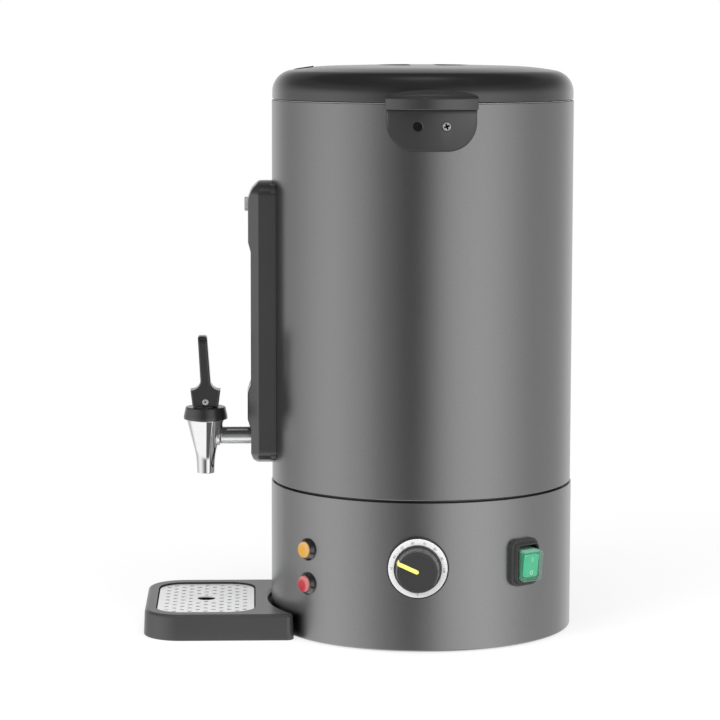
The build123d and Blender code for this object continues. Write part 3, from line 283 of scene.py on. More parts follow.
class TapSizes(PropertyGroup):
    """Lever tap: chrome cone on its shank, black collar, spring and lever."""

    reach: size("Reach", "Distance of the tap's axis from the drum", 53.6 * MM)
    shank_height: size("Shank height", "Height of the shank's axis", 152.5 * MM)
    shank_radius: size("Shank radius", "Outside of the shank", 7.05 * MM)
    top: size("Cone top", "Height of the cone's top", 166.2 * MM)
    top_radius: size("Cone top radius", "Radius of the cone's top", 15.6 * MM)
    waist_radius: size("Waist radius", "Radius of the waist", 7.7 * MM)
    outlet: size("Outlet", "Height of the outlet", low("tap_body", Z))
    outlet_radius: size("Outlet radius", "Outside of the outlet", 7.1 * MM)
    collar_radius: size("Collar radius", "Radius of the collar's top", 16.0 * MM)
    collar_height: size("Collar height", "Height of the collar", 9.8 * MM)
    spring_turns: count("Spring turns", "Turns of the return spring", 7)
    pivot: size("Pivot", "Height of the lever's pivot", 180.5 * MM)
    tip: size("Tip", "Height of the lever's tip", high("tap_lever", Z))
    fork_width: size("Fork width", "Width of the lever at its fork", 17.0 * MM)
    paddle_width: size("Paddle width", "Width of the lever at its tip", 21.0 * MM)
    shank_flange = 8.4 * MM
    shank_flange_width = 2.2 * MM
    top_edge = 0.8 * MM
    waist_drop = 16.5 * MM
    waist_round = 55.0 * MM
    outlet_bore = 4.4 * MM
    outlet_depth = 12.0 * MM
    outlet_edge = 0.5 * MM
    skirt_radius = 17.6 * MM
    skirt_height = 2.1 * MM
    collar_edge = 1.1 * MM
    hub_radius = 10.0 * MM
    hub_height = 0.9 * MM
    stem_radius = 3.0 * MM
    spring_radius = 4.7 * MM
    spring_wire = 0.55 * MM
    heel = low("tap_lever", Z)
    heel_half = 10.4 * MM
    shoulder_half = 12.0 * MM
    shoulder_rise = 9.4 * MM
    neck_rise = 17.0 * MM
    neck_half = 4.0 * MM
    tip_half = 3.7 * MM
    tip_lean = 2.3 * MM
    tip_round = 1.8 * MM
    paddle_corner = 6.0 * MM
    lever_edge = 1.5 * MM
    shoulder_edge = 1.3 * MM
    fork_slot = 5.2 * MM
    fork_slot_length = 36.0 * MM
    fork_slot_rise = 6.5 * MM
    pin_radius = 2.5 * MM
    pin_height = 0.8 * MM
    pin_dimple = 1.5 * MM


class TraySizes(PropertyGroup):
    """Drip tray with its perforated grid."""

    end: size("End", "Far end of the tray", low("drip_tray", X))
    half_width: size("Half width", "Half the tray's width", high("drip_tray", Y))
    height: size("Height", "Height of the tray", high("drip_tray", Z))
    corner: size("Corner", "Rounding of the far corners", 30.0 * MM)
    draft: angle("Draft", "Slope of the sides", radians(2.0))
    grid_length: size("Grid length", "Length of the grid along the tap", 77.4 * MM)
    grid_width: size("Grid width", "Width of the grid", 117.4 * MM)
    grid_corner: size("Grid corner", "Rounding of the grid's corners", 20.0 * MM)
    hole_radius: size("Hole radius", "Radius of a drain hole", 1.95 * MM)
    column_pitch: size("Column pitch", "Spacing of the hole columns", 6.25 * MM)
    row_pitch: size("Row pitch", "Spacing of the holes in a column", 12.6 * MM)
    columns: count("Columns", "Columns of holes", 11)
    rows: count("Rows", "Holes in a long column", 9)
    centre_radius: size("Centre radius", "Radius of the hole in the middle", 7.3 * MM)
    heel_gap = 1.9 * MM
    heel_corner = 6.0 * MM
    edge = 3.0 * MM
    foot_edge = 0.8 * MM
    floor = 3.0 * MM
    floor_round = 4.0 * MM
    mouth_edge = 0.5 * MM
    grid_gap = 0.9 * MM
    grid_ledge = 3.6 * MM
    grid_low = low("drip_grid", Z) - 0.9 * MM
    grid_high = high("drip_grid", Z) - 0.9 * MM
    grid_edge = 0.3 * MM
    hole_margin = 1.05 * MM
    lug_width = 12.0 * MM
    lug_height = 3.5 * MM
    lug_lift = 14.0 * MM
    lug_reach = 8.0 * MM
    lug_root = 2.0 * MM
    lug_corner = 1.0 * MM
    lug_edge = 0.2 * MM


class ControlSizes(PropertyGroup):
    """Dial, pilot lamps and rocker switch on the base."""

    dial_azimuth: angle("Dial azimuth", "Where the dial sits round the base", radians(-4.4))
    dial_height: size("Dial height", "Height of the dial's centre", 66.8 * MM)
    scale_radius: size("Scale radius", "Radius of the silver scale", 22.8 * MM)
    knob_foot_radius: size("Knob foot radius", "Radius of the knob at its foot", 17.3 * MM)
    knob_face_radius: size("Knob face radius", "Radius of the knob's face", 15.6 * MM)
    knob_height: size("Knob height", "Height of the knob", 16.0 * MM)
    pointer_angle: angle("Pointer angle", "Where the pointer stands, from the right", radians(156.0))
    pointer_width: size("Pointer width", "Width of the pointer", 3.2 * MM)
    figure_height: size("Figure height", "Height of the scale's figures", 2.7 * MM)
    figures: count("Figures", "Figures on the scale", 8)
    lamp_azimuth: angle("Lamp azimuth", "Where the lamps sit round the base", radians(-50.4))
    amber_height: size("Amber height", "Height of the amber lamp", 73.5 * MM)
    red_height: size("Red height", "Height of the red lamp", 46.5 * MM)
    bezel_radius: size("Bezel radius", "Radius of a bezel's foot", 8.9 * MM)
    lens_radius: size("Lens radius", "Radius of a lens", 6.4 * MM)
    switch_azimuth: angle("Switch azimuth", "Where the switch sits round the base", radians(37.5))
    switch_height: size("Switch height", "Height of the switch's centre", 66.5 * MM)
    flange_width: size("Flange width", "Width of the switch's flange", 28.0 * MM)
    flange_height: size("Flange height", "Height of the switch's flange", 37.0 * MM)
    boot_width: size("Boot width", "Width of the green boot", 20.0 * MM)
    boot_height: size("Boot height", "Height of the green boot", 24.0 * MM)
    boot_stand: size("Boot stand", "How far the boot stands out", 12.6 * MM)
    rocker_tilt: angle("Rocker tilt", "Tilt of the rocker at rest", radians(6.6))
    scale_base_radius = 24.0 * MM
    scale_thickness = 0.8 * MM
    scale_stand = 3.2 * MM
    knob_skirt_radius = 18.5 * MM
    knob_skirt = 3.2 * MM
    knob_lift = 0.3 * MM
    knob_edge = 0.9 * MM
    knob_rim = 1.5 * MM
    knob_dish = 0.45 * MM
    pointer_rise = 0.5 * MM
    pointer_drop = 8.0 * MM
    pointer_edge = 0.3733 * MM
    figure_radius = 20.0 * MM
    figure_first = 30
    figure_step = 10
    figure_start = pi
    figure_end = radians(-3.0)
    tick_length = 0.9 * MM
    tick_width = 0.25 * MM
    tick_edge = 0.005 * MM
    ink_rise = 0.04 * MM
    bezel_face_radius = 7.1 * MM
    bezel_rim = 1.0 * MM
    bezel_stand = 3.7 * MM
    bezel_edge = 0.5 * MM
    lens_rise = 1.7 * MM
    lens_round = 3.4 * MM
    lens_rings = 3
    flange_corner = 7.0 * MM
    flange_stand = 4.0 * MM
    flange_edge = 1.2 * MM
    frame_step = 1.5 * MM
    opening_width = 20.4 * MM
    opening_height = 27.6 * MM
    opening_corner = 3.0 * MM
    boot_corner = 3.0 * MM
    boot_edge = 0.8 * MM
    boot_wall = 1.2 * MM
    rocker_pivot = 4.7 * MM
    rocker_gap = 0.2 * MM
    key_width = 13.0 * MM
    key_height = 17.4 * MM
    key_corner = 1.2 * MM
    mark_height = 3.4 * MM
    mark_width = 0.75 * MM
    mark_spread = 5.2 * MM
    mark_corner = 0.2 * MM
    mark_edge = 0.01 * MM


class Finishes(PropertyGroup):
    """Colours of the finishes."""

    drum_steel: tint("Drum steel", "Satin steel of the drum", (0.30, 0.30, 0.305))
    base_steel: tint("Base steel", "Satin steel of the base", (0.33, 0.33, 0.335))
    bright_steel: tint("Bright steel", "Tank and pins", (0.74, 0.74, 0.745))
    grid: tint("Grid", "Polished steel of the grid", (0.92, 0.92, 0.925))
    lid_plastic: tint("Lid plastic", "Satin plastic of the lid", (0.011, 0.011, 0.012))
    dark_plastic: tint("Dark plastic", "Handles and gauge", (0.023, 0.023, 0.024))
    black_plastic: tint("Black plastic", "Collar, lever and bezels", (0.014, 0.014, 0.015))
    knob: tint("Knob", "Knob and switch frame", (0.038, 0.038, 0.039))
    chrome: tint("Chrome", "Tap", (0.92, 0.92, 0.93))
    scale_metal: tint("Scale metal", "Silver scale of the dial", (0.93, 0.93, 0.935))
    pointer: tint("Pointer", "Yellow pointer", (0.90, 0.87, 0.20))
    amber: tint("Amber", "Amber lens", (0.88, 0.46, 0.035))
    red: tint("Red", "Red lens", (0.62, 0.02, 0.04))
    # Paler colours towards the lenses' rims and upper sides: painted highlight
    amber_rim_light: tint("Amber rim", "Paler rim of the amber lens", (0.86, 0.52, 0.16))
    red_rim_light: tint("Red rim", "Paler rim of the red lens", (0.74, 0.24, 0.23))
    boot: tint("Boot", "Translucent boot", (0.27, 0.6, 0.43))
    core: tint("Rocker", "Rocker round its key", (0.02, 0.15, 0.085))
    tray: tint("Tray", "Satin plastic of the tray", (0.044, 0.044, 0.046))
    key: tint("Key", "Rocker's key under the boot", (0.035, 0.52, 0.27))
    # Black for painted shade: pieces and surfaces put in recesses where only shade falls
    shade: tint("Shade", "Bottoms of deep recesses", (0.004, 0.004, 0.004))
    rubber: tint("Rubber", "Feet", (0.028, 0.028, 0.028))
    silicone: tint("Silicone", "Seals", (0.70, 0.69, 0.65))
    brass: tint("Brass", "Turned brass", (0.62, 0.47, 0.22))
    screw: tint("Screw", "Screw heads", (0.42, 0.42, 0.43))
    zinc: tint("Zinc", "Plated steel", (0.56, 0.56, 0.57))
    grey_plastic: tint("Grey plastic", "Terminal block", (0.52, 0.52, 0.51))
    ink: tint("Ink", "Figures on the scale", (0.16, 0.16, 0.165))
    white_ink: tint("White ink", "Marks on the switch", (0.85, 0.88, 0.86))
    glass: tint("Glass", "Sight glass", (0.95, 0.97, 0.97))


class StageSettings(PropertyGroup):
    """Camera, floor and studio light."""

    camera_yaw: angle("Yaw", "Turn of the camera from +Y towards +X", radians(2.139))
    camera_pitch: angle("Pitch", "How far the camera looks down", radians(6.84))
    lens: number("Lens", "Focal length in millimetres", 140.8)
    floor_colour: tint("Floor colour", "Pale floor", (0.93, 0.93, 0.93))
    ambient: number("Ambient", "Strength of the soft surround light", 0.40)
    overhead_level: number("Overhead level", "Light level of the soft box overhead", 0.4)
    camera_place = (-133.40 * MM, -2245.36 * MM, 482.76 * MM)
    camera_roll = radians(0.10)
    sensor = 36.0
    camera_range = 50.0
    floor_radius = 1.6
    floor_clear = 0.75
    floor_glow_share = 0.72
    wall_radius = 3.2
    wall_height = 3.0
    wall_fall_share = 0.8
    wall_fade_shares = (1 / 10, 2 / 3)
    horizon_shares = (-1 / 3, -1 / 2)
    floor_fade_share = 1 / 3
    overhead_radius = 0.35
    ceiling_level = 0.04


class DispenserSettings(PropertyGroup):
    """All settings of the dispenser."""

    body: PointerProperty(type=BodySizes)
    lid: PointerProperty(type=LidSizes)
    handle: PointerProperty(type=HandleSizes)
    gauge: PointerProperty(type=GaugeSizes)
    tap: PointerProperty(type=TapSizes)
    tray: PointerProperty(type=TraySizes)
    control: PointerProperty(type=ControlSizes)
    finish: PointerProperty(type=Finishes)
    stage: PointerProperty(type=StageSettings)


# Outlines
def arc(centre, radius, start, end, steps=ARC_STEPS):
    """Points on an arc, from one angle to another in radians."""
    turns = [start + (end - start) * step / steps for step in range(steps + 1)]
    return [Vector((centre[X] + radius * cos(turn), centre[Y] + radius * sin(turn))) for turn in turns]


def rounded(corners, closed=True, steps=ROUND_STEPS):
    """Outline through (x, y, radius) corners: each becomes an arc with a holding point on each side."""
    points = [Vector(corner[:2]) for corner in corners]
    outline = []
    for index, corner in enumerate(corners):
        here = points[index]
        ends = not closed and index in (0, len(corners) - 1)
        if ends or corner[2] == 0:
            outline.append(here)
            continue
        back = points[index - 1] - here
        ahead = points[(index + 1) % len(points)] - here
        half = back.angle(ahead) / 2
        reach = min(corner[2] / tan(half), ROOM_SHARE * min(back.length, ahead.length))
        radius = reach * tan(half)
        back.normalize()
        ahead.normalize()
        centre = here + (back + ahead).normalized() * radius / sin(half)
        first = here + reach * back - centre
        last = here + reach * ahead - centre
        begin = atan2(first.y, first.x)
        sweep = (atan2(last.y, last.x) - begin + pi) % (2 * pi) - pi
        hold = reach * (1 + HOLD_SHARE)
        outline.append(here + hold * back)
        outline += arc(centre, radius, begin, begin + sweep, steps)
        outline.append(here + hold * ahead)
    return outline


def box_outline(width, height, corner):
    """Upright rectangle with round corners, anticlockwise about its centre."""
    x, y = width / 2, height / 2
    return rounded([(x, -y, corner), (x, y, corner), (-x, y, corner), (-x, -y, corner)])


def stadium(length, width):
    """Slot outline along X, round at both ends."""
    reach = (length - width) / 2
    right = arc((reach, 0), width / 2, -pi / 2, pi / 2)
    return right + arc((-reach, 0), width / 2, pi / 2, 3 * pi / 2)


def inset(outline, distance):
    """Anticlockwise outline moved inwards along its own normals."""
    drawn_in = []
    for index, here in enumerate(outline):
        before = (here - outline[index - 1]).normalized()
        after = (outline[(index + 1) % len(outline)] - here).normalized()
        normal = Vector((-before.y - after.y, before.x + after.x)) / (1 + before.dot(after))
        drawn_in.append(here + distance * normal)
    return drawn_in


def raised(outline, height):
    """Flat outline as a row of points at a height."""
    return [Vector((point.x, point.y, height)) for point in outline]


def edge_steps(radius):
    """Inset and drop along a quarter round, from the side to the face."""
    turns = [pi / 2 * step / ROUND_STEPS for step in range(ROUND_STEPS + 1)]
    rows = [(radius * (1 - cos(turn)), radius * (1 - sin(turn))) for turn in turns]
    return rows + [(radius * (1 + HOLD_SHARE), 0)]


def edged(outline, edge, height, inwards=1, upwards=-1, lean=0):
    """Rows along the rounded edge of an outline, from its side to its face at a height."""
    rows = []
    for inward, drop in edge_steps(edge):
        rows.append(raised(inset(outline, lean + inwards * inward), height + upwards * drop))
    return rows


def block_rows(outline, bottom, top, foot_edge, top_edge):
    """Rows of a block over an outline, with its lower and upper edges rounded."""
    return edged(outline, foot_edge, bottom, upwards=1)[::-1] + edged(outline, top_edge, top)


def stations(half):
    """Places from one side to the other, closer together towards the ends."""
    return [half * sin(pi * step / FINE_STEPS - pi / 2) for step in range(FINE_STEPS + 1)]


# Places
def panel(azimuth, height):
    """Place on the drum's axis: its Z runs outwards, its Y up and its X along the panel."""
    along = Vector((cos(azimuth), sin(azimuth), 0))
    outward = Vector((sin(azimuth), -cos(azimuth), 0))
    place = Matrix((along, Vector((0, 0, 1)), outward)).transposed().to_4x4()
    place.translation = Vector((0, 0, height))
    return place


def shifted(x, y, z):
    """Place moved along the axes."""
    return Matrix.Translation((x, y, z))


def spun(turn, axis="Z"):
    """Place turned about an axis."""
    return Matrix.Rotation(turn, 4, axis)


# Meshes
def add_rows(mesh, rows, wrap=False, closed=True):
    """Quads over rows of points, added to a mesh; returns the rows' vertices."""
    grid = [[mesh.verts.new(point) for point in row] for row in rows]
    width = len(grid[0])
    for index in range(len(grid) if wrap else len(grid) - 1):
        near = grid[index]
        far = grid[(index + 1) % len(grid)]
        for left in range(width if closed else width - 1):
            right = (left + 1) % width
            mesh.faces.new((near[left], near[right], far[right], far[left]))
    return grid


def fill(mesh, *rings):
    """Triangles between an outer ring of vertices and the rings inside it."""
    edges = []
    for ring in rings:
        for index, vertex in enumerate(ring):
            pair = (ring[index - 1], vertex)
            edges.append(mesh.edges.get(pair) or mesh.edges.new(pair))
    bmesh.ops.triangle_fill(mesh, use_beauty=True, use_dissolve=False, edges=edges)


def moved(mesh, place):
    """The same mesh at another place."""
    bmesh.ops.transform(mesh, matrix=place, verts=mesh.verts)
    return mesh


def skinned(rows):
    """Closed mesh over rows of points, with a cap at each end."""
    mesh = bmesh.new()
    grid = add_rows(mesh, rows)
    mesh.faces.new(grid[0][::-1])
    mesh.faces.new(grid[-1])
    return mesh


def block(outline, bottom, top, foot_edge, top_edge):
    """Mesh of a block over an outline, with rounded edges."""
    return skinned(block_rows(outline, bottom, top, foot_edge, top_edge))


def prism(outline, bottom, top, place):
    """Mesh of an outline drawn out between two heights, at a place."""
    return moved(skinned([raised(outline, bottom), raised(outline, top)]), place)


def circled(radius, turn, height):
    """Point at a radius, an angle and a height about the Z axis."""
    return Vector((radius * cos(turn), radius * sin(turn), height))


def circle_turns():
    """Angles once round the Z axis."""
    return [2 * pi * step / TURN_STEPS for step in range(TURN_STEPS)]


def lathe(corners, place=ORIGIN, closed=False, steps=FINE_STEPS, round_steps=ROUND_STEPS):
    """Mesh turned about a place's Z axis from (radius, height, rounding) corners."""
    profile = rounded(corners, closed, round_steps)
    mesh = bmesh.new()
    turns = [2 * pi * step / steps for step in range(steps)]
    rows = [[circled(radius, turn, height) for radius, height in profile] for turn in turns]
    add_rows(mesh, rows, wrap=True, closed=closed)
    return moved(mesh, place)


def joined(*meshes):
    """One mesh from several."""
    whole = bmesh.new()
    for mesh in meshes:
        loose = bpy.data.meshes.new("loose")
        mesh.to_mesh(loose)
        mesh.free()
        whole.from_mesh(loose)
        bpy.data.meshes.remove(loose)
    return whole


# Pieces
def smoothed(data):
    """The same mesh data, smooth between sharp creases."""
    data.shade_smooth()
    data.set_sharp_from_angle(angle=CREASE_ANGLE)
    return data


def shown(name, data, finish_name=None):
    """Object that shows a mesh with a finish."""
    smoothed(data)
    if finish_name:
        data.materials.clear()
        data.materials.append(finishes[finish_name])
    made = bpy.data.objects.new(name, data)
    bpy.context.scene.collection.objects.link(made)
    return made


def piece(name, mesh, finish_name=None):
    """Object from a mesh: welded, facing outwards, smooth between sharp creases."""
    bmesh.ops.remove_doubles(mesh, verts=mesh.verts, dist=WELD)
    bmesh.ops.dissolve_degenerate(mesh, edges=mesh.edges, dist=WELD)
    bmesh.ops.recalc_face_normals(mesh, faces=mesh.faces)
    data = bpy.data.meshes.new(name)
    mesh.to_mesh(data)
    mesh.free()
    return shown(name, data, finish_name)


def seated(made, body, slot, *nodes):
    """Hangs a piece under the body that carries it and hides the nodes it stands for; the slot is not used.
    """
    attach(made, body)
    if nodes:
        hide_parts(*nodes)
    return made


def add(name, mesh, finish_name, body, slot, *nodes):
    """Piece from a mesh, handed to the frame."""
    return seated(piece(name, mesh, finish_name), body, slot, *nodes)


def evaluated(target):
    """Mesh data of an object after its modifiers."""
    graph = bpy.context.evaluated_depsgraph_get()
    return bpy.data.meshes.new_from_object(target.evaluated_get(graph), depsgraph=graph)


def settled(target):
    """The same object with its modifiers turned into plain mesh."""
    data = evaluated(target)
    target.modifiers.clear()
    old = target.data
    target.data = smoothed(data)
    bpy.data.meshes.remove(old)
    data.name = target.name
    return target


def cut(target, *cutters):
    """Takes meshes out of an object."""
    for mesh in cutters:
        tool = piece("cutter", mesh)
        change = target.modifiers.new("cut", "BOOLEAN")
        change.operation = "DIFFERENCE"
        change.solver = "EXACT"
        change.object = tool
        before = len(target.data.polygons)
        settled(target)
        bpy.data.objects.remove(tool)
        if len(target.data.polygons) in (0, before):
            raise RuntimeError(f"a cut left {target.name} empty or unchanged")
    return target


def lifted(made):
    """Mesh of an object that was only needed for its cuts."""
    mesh = bmesh.new()
    mesh.from_mesh(made.data)
    bpy.data.objects.remove(made)
    return mesh


def marked(made, shade_of, reach):
    """Notes on a mesh how deep in painted shade its points lie, within a reach of the axis."""
    marks = made.data.attributes.new("shade", "FLOAT", "POINT").data
    for vertex, mark in zip(made.data.vertices, marks):
        if hypot(vertex.co.x, vertex.co.y) < reach:
            mark.value = min(max(shade_of(vertex.co), 0), 1)


def lettering(words, height, rise):
    """Mesh of a word, centred on the local origin and facing +Z."""
    curve = bpy.data.curves.new("lettering", "FONT")
    curve.body = words
    curve.size = height
    curve.extrude = rise / 2
    curve.align_x = "CENTER"
    curve.align_y = "CENTER"
    holder = bpy.data.objects.new("lettering", curve)
    bpy.context.scene.collection.objects.link(holder)
    data = evaluated(holder)
    bpy.data.objects.remove(holder)
    mesh = bmesh.new()
    mesh.from_mesh(data)
    bpy.data.meshes.remove(data)
    return mesh


# Node trees
def connect(tree, made, entries):
    """Links a node's inputs to sockets or gives them values."""
    for entry, value in entries.items():
        if isinstance(value, NodeSocket):
            tree.links.new(value, made.inputs[entry])
        else:
            made.inputs[entry].default_value = value


def node(tree, kind, entries=None, **values):
    """Node with its properties and inputs set; returns its outputs."""
    made = tree.nodes.new(kind)
    for name, value in values.items():
        setattr(made, name, value)
    connect(tree, made, entries or {})
    return made.outputs


def new_tree(name, kind, entries, results):
    """Node tree with named inputs and outputs, each a kind of socket or a number; returns its inputs too."""
    tree = bpy.data.node_groups.new(name, kind)
    for way, rows in (("INPUT", entries), ("OUTPUT", results)):
        for entry, value in rows.items():
            number = isinstance(value, float)
            socket = "NodeSocket" + ("Float" if number else value)
            made = tree.interface.new_socket(name=entry, in_out=way, socket_type=socket)
            if number:
                made.default_value = value
    return tree, node(tree, "NodeGroupInput")


def sum_of(tree, operation, *parts):
    """Math node on sockets or numbers."""
    return node(tree, "ShaderNodeMath", dict(enumerate(parts)), operation=operation)[0]


def smooth(tree, value, limits):
    """Number eased between limits."""
    entries = {"Value": value} | limits
    return node(tree, "ShaderNodeMapRange", entries, interpolation_type="SMOOTHSTEP")["Result"]


def blend(tree, factor, first, second, kind="FLOAT"):
    """Number or colour between two others."""
    return node(tree, "ShaderNodeMix", {"Factor": factor, "A": first, "B": second}, data_type=kind)["Result"]


def painted(tree, given, geometry):
    """Ends a geometry tree with its finish."""
    entries = {"Geometry": geometry, "Material": given["Finish"]}
    node(tree, "NodeGroupOutput", {"Geometry": node(tree, "GeometryNodeSetMaterial", entries)["Geometry"]})
    return tree


def set_out_tree():
    """Tree that sets a piece out on points, each turned by the points' own angles."""
    kinds = {"Geometry": "Geometry", "Piece": "Object", "Finish": "Material"}
    tree, given = new_tree("Set out on points", "GeometryNodeTree", kinds, {"Geometry": "Geometry"})
    points = node(tree, "GeometryNodeMeshToPoints", {"Mesh": given["Geometry"]})
    info = node(tree, "GeometryNodeObjectInfo", {"Object": given["Piece"]})
    turn = node(tree, "GeometryNodeInputNamedAttribute", {"Name": "turn"}, data_type="FLOAT_VECTOR")
    rotation = node(tree, "FunctionNodeEulerToRotation", {"Euler": turn["Attribute"]})
    entries = {"Points": points["Points"], "Instance": info["Geometry"], "Rotation": rotation["Rotation"]}
    copies = node(tree, "GeometryNodeInstanceOnPoints", entries)
    real = node(tree, "GeometryNodeRealizeInstances", {"Geometry": copies["Instances"]})
    return painted(tree, given, real["Geometry"])


def hole_lattice(tree, given):
    """Staggered columns of points: short columns with long ones between them."""
    pitch = sum_of(tree, "MULTIPLY", given["Column pitch"], 2)
    short_rows = sum_of(tree, "SUBTRACT", given["Rows"], 1)
    whole = tree.nodes.new("GeometryNodeJoinGeometry")
    for columns, rows in ((given["Short columns"], short_rows), (given["Long columns"], given["Rows"])):
        wide = sum_of(tree, "MULTIPLY", sum_of(tree, "SUBTRACT", columns, 1), pitch)
        tall = sum_of(tree, "MULTIPLY", sum_of(tree, "SUBTRACT", rows, 1), given["Row pitch"])
        entries = {"Size X": wide, "Size Y": tall, "Vertices X": columns, "Vertices Y": rows}
        connect(tree, whole, {"Geometry": node(tree, "GeometryNodeMeshGrid", entries)["Mesh"]})
    return whole.outputs["Geometry"]


def spoilt_holes(tree, given):
    """Picks the points too near the plate's border or its centre hole."""
    position = node(tree, "GeometryNodeInputPosition")["Position"]
    place = node(tree, "ShaderNodeSeparateXYZ", {"Vector": position})
    beyond, across = [], []
    for axis, half in (("X", "Half length"), ("Y", "Half width")):
        straight = sum_of(tree, "SUBTRACT", given[half], given["Corner"])
        over = sum_of(tree, "SUBTRACT", sum_of(tree, "ABSOLUTE", place[axis]), straight)
        beyond.append(sum_of(tree, "POWER", sum_of(tree, "MAXIMUM", over, 0), 2))
        across.append(sum_of(tree, "POWER", place[axis], 2))
    limit = sum_of(tree, "SUBTRACT", given["Corner"], given["Margin"])
    keep_off = sum_of(tree, "ADD", given["Centre radius"], given["Margin"])
    corner_reach = sum_of(tree, "SQRT", sum_of(tree, "ADD", *beyond))
    outside = sum_of(tree, "GREATER_THAN", corner_reach, limit)
    central = sum_of(tree, "LESS_THAN", sum_of(tree, "SQRT", sum_of(tree, "ADD", *across)), keep_off)
    return sum_of(tree, "MAXIMUM", outside, central)


def perforation_tree():
    """Tree that drills staggered columns of holes through a plate, clear of its border and centre hole."""
    lengths = ("Column pitch", "Row pitch", "Hole radius", "Drill length")
    lengths += ("Half length", "Half width", "Corner", "Margin", "Centre radius")
    kinds = {"Geometry": "Geometry"} | dict.fromkeys(lengths, "Float")
    kinds |= dict.fromkeys(("Short columns", "Long columns", "Rows"), "Int")
    kinds |= {"Centre": "Vector", "Finish": "Material"}
    tree, given = new_tree("Staggered perforation", "GeometryNodeTree", kinds, {"Geometry": "Geometry"})
    entries = {"Geometry": hole_lattice(tree, given), "Selection": spoilt_holes(tree, given)}
    pruned = node(tree, "GeometryNodeDeleteGeometry", entries, domain="POINT")
    points = node(tree, "GeometryNodeMeshToPoints", {"Mesh": pruned["Geometry"]})
    entries = {"Vertices": DRILL_STEPS, "Radius": given["Hole radius"], "Depth": given["Drill length"]}
    drill = node(tree, "GeometryNodeMeshCylinder", entries)
    entries = {"Points": points["Points"], "Instance": drill["Mesh"]}
    drills = node(tree, "GeometryNodeInstanceOnPoints", entries)
    entries = {"Geometry": drills["Instances"], "Translation": given["Centre"]}
    set_down = node(tree, "GeometryNodeTransform", entries)
    real = node(tree, "GeometryNodeRealizeInstances", {"Geometry": set_down["Geometry"]})
    entries = {"Mesh 1": given["Geometry"], "Mesh 2": real["Geometry"]}
    drilled = node(tree, "GeometryNodeMeshBoolean", entries, operation="DIFFERENCE", solver="EXACT")
    return painted(tree, given, drilled["Mesh"])


def feed(target, tree, values):
    """Runs a tree on an object with its named inputs and leaves plain mesh."""
    change = target.modifiers.new(tree.name, "NODES")
    change.node_group = tree
    for entry in tree.interface.items_tree:
        if entry.in_out == "INPUT" and entry.name in values:
            change[entry.identifier] = values[entry.name]
    return settled(target)


def set_out(name, mesh, places, finish_name):
    """Copies of a mesh at several places, as one piece."""
    data = bpy.data.meshes.new(name)
    data.from_pydata([place.translation for place in places], [], [])
    turns = data.attributes.new("turn", "FLOAT_VECTOR", "POINT")
    for index, place in enumerate(places):
        turns.data[index].vector = place.to_euler()
    made = shown(name, data, finish_name)
    original = piece(name + "_one", mesh, finish_name)
    tree = bpy.data.node_groups.get("Set out on points") or set_out_tree()
    feed(made, tree, {"Piece": original, "Finish": finishes[finish_name]})
    bpy.data.objects.remove(original)
    return made


# Shader groups
def noise(tree, vector, scale, detail):
    """Noise on a vector socket."""
    return node(tree, "ShaderNodeTexNoise", {"Vector": vector, "Scale": scale, "Detail": detail})["Fac"]


def shader_group(name, numbers):
    """Shader group with a vector, number inputs, and a tone and a height to put out."""
    results = {"Tone": "Float", "Height": "Float"}
    return new_tree(name, "ShaderNodeTree", {"Vector": "Vector"} | numbers, results)


def brushing_group():
    """Fine lines along Z, a close speckle and broad drifts of tone, as on brushed sheet."""
    numbers = {"Fineness": 2600.0, "Length": 30.0, "Drift": 14.0, "Speckle": 850.0, "Speckle share": 0.0}
    line_scale, line_detail, drift_detail, speckle_detail = 1.0, 3.0, 2.0, 1.0
    drift_share = 0.35
    tree, given = shader_group("Brushing", numbers)
    entries = {"X": given["Fineness"], "Y": given["Fineness"], "Z": given["Length"]}
    stretch = node(tree, "ShaderNodeCombineXYZ", entries)["Vector"]
    lines = node(tree, "ShaderNodeVectorMath", {0: given["Vector"], 1: stretch}, operation="MULTIPLY")
    fine = noise(tree, lines["Vector"], line_scale, line_detail)
    broad = noise(tree, given["Vector"], given["Drift"], drift_detail)
    close = noise(tree, given["Vector"], given["Speckle"], speckle_detail)
    results = {"Tone": blend(tree, drift_share, fine, broad), "Height": fine}
    for entry, value in results.items():
        results[entry] = blend(tree, given["Speckle share"], value, close)
    node(tree, "NodeGroupOutput", results)


def grain_group():
    """Fine moulded grain with soft handling marks."""
    grain_detail, mark_detail = 2.0, 4.0
    mark_share = 0.6
    tree, given = shader_group("Moulded grain", {"Fineness": 1700.0, "Marks": 26.0})
    fine = noise(tree, given["Vector"], given["Fineness"], grain_detail)
    marks = noise(tree, given["Vector"], given["Marks"], mark_detail)
    node(tree, "NodeGroupOutput", {"Tone": blend(tree, mark_share, fine, marks), "Height": fine})


# Finishes
finishes = {}
PLAIN = {"values": {}, "extras": {}}
METAL = PLAIN | {"group": "Brushing", "metallic": 1.0, "spread_share": 0.07, "bump_share": 0.10}
MOULDED = PLAIN | {"group": "Moulded grain", "metallic": 0.0, "spread_share": 0.10, "bump_share": 0.12}
# Painted shade: black, rough and without coat where a plastic's mesh is marked as lying in shade
SHADE_PAINT = {"Roughness": 0.9, "Coat Weight": 0.0, "Base Color": (0.002, 0.002, 0.002, 1.0)}
FACING_START = 0.2
RIM_LIGHT_START = 0.4
BOOT_SHARES = (0.09, 0.95)
# Faint glow of the rocker's key: painted light, the key is no lamp
KEY_PAINTED_GLOW = 0.25
SPECKLED = {"spread_share": 0.12, "values": {"Speckle share": 0.6}}
GLOSSY = {"Specular IOR Level": 1.0, "Coat Weight": 0.6, "Coat Roughness": 0.2}
SATIN = {"Specular IOR Level": 1.0, "Coat Weight": 0.5, "Coat Roughness": 0.28}
CLEAR = {"Transmission Weight": 0.3, "IOR": 1.49, "Coat Weight": 0.4, "Coat Roughness": 0.08}
SMOOTH_CHROME = {"bump_share": 0.02, "values": {"Fineness": 300.0, "Length": 300.0}}
GLASS = {"Transmission Weight": 1.0, "IOR": 1.47}

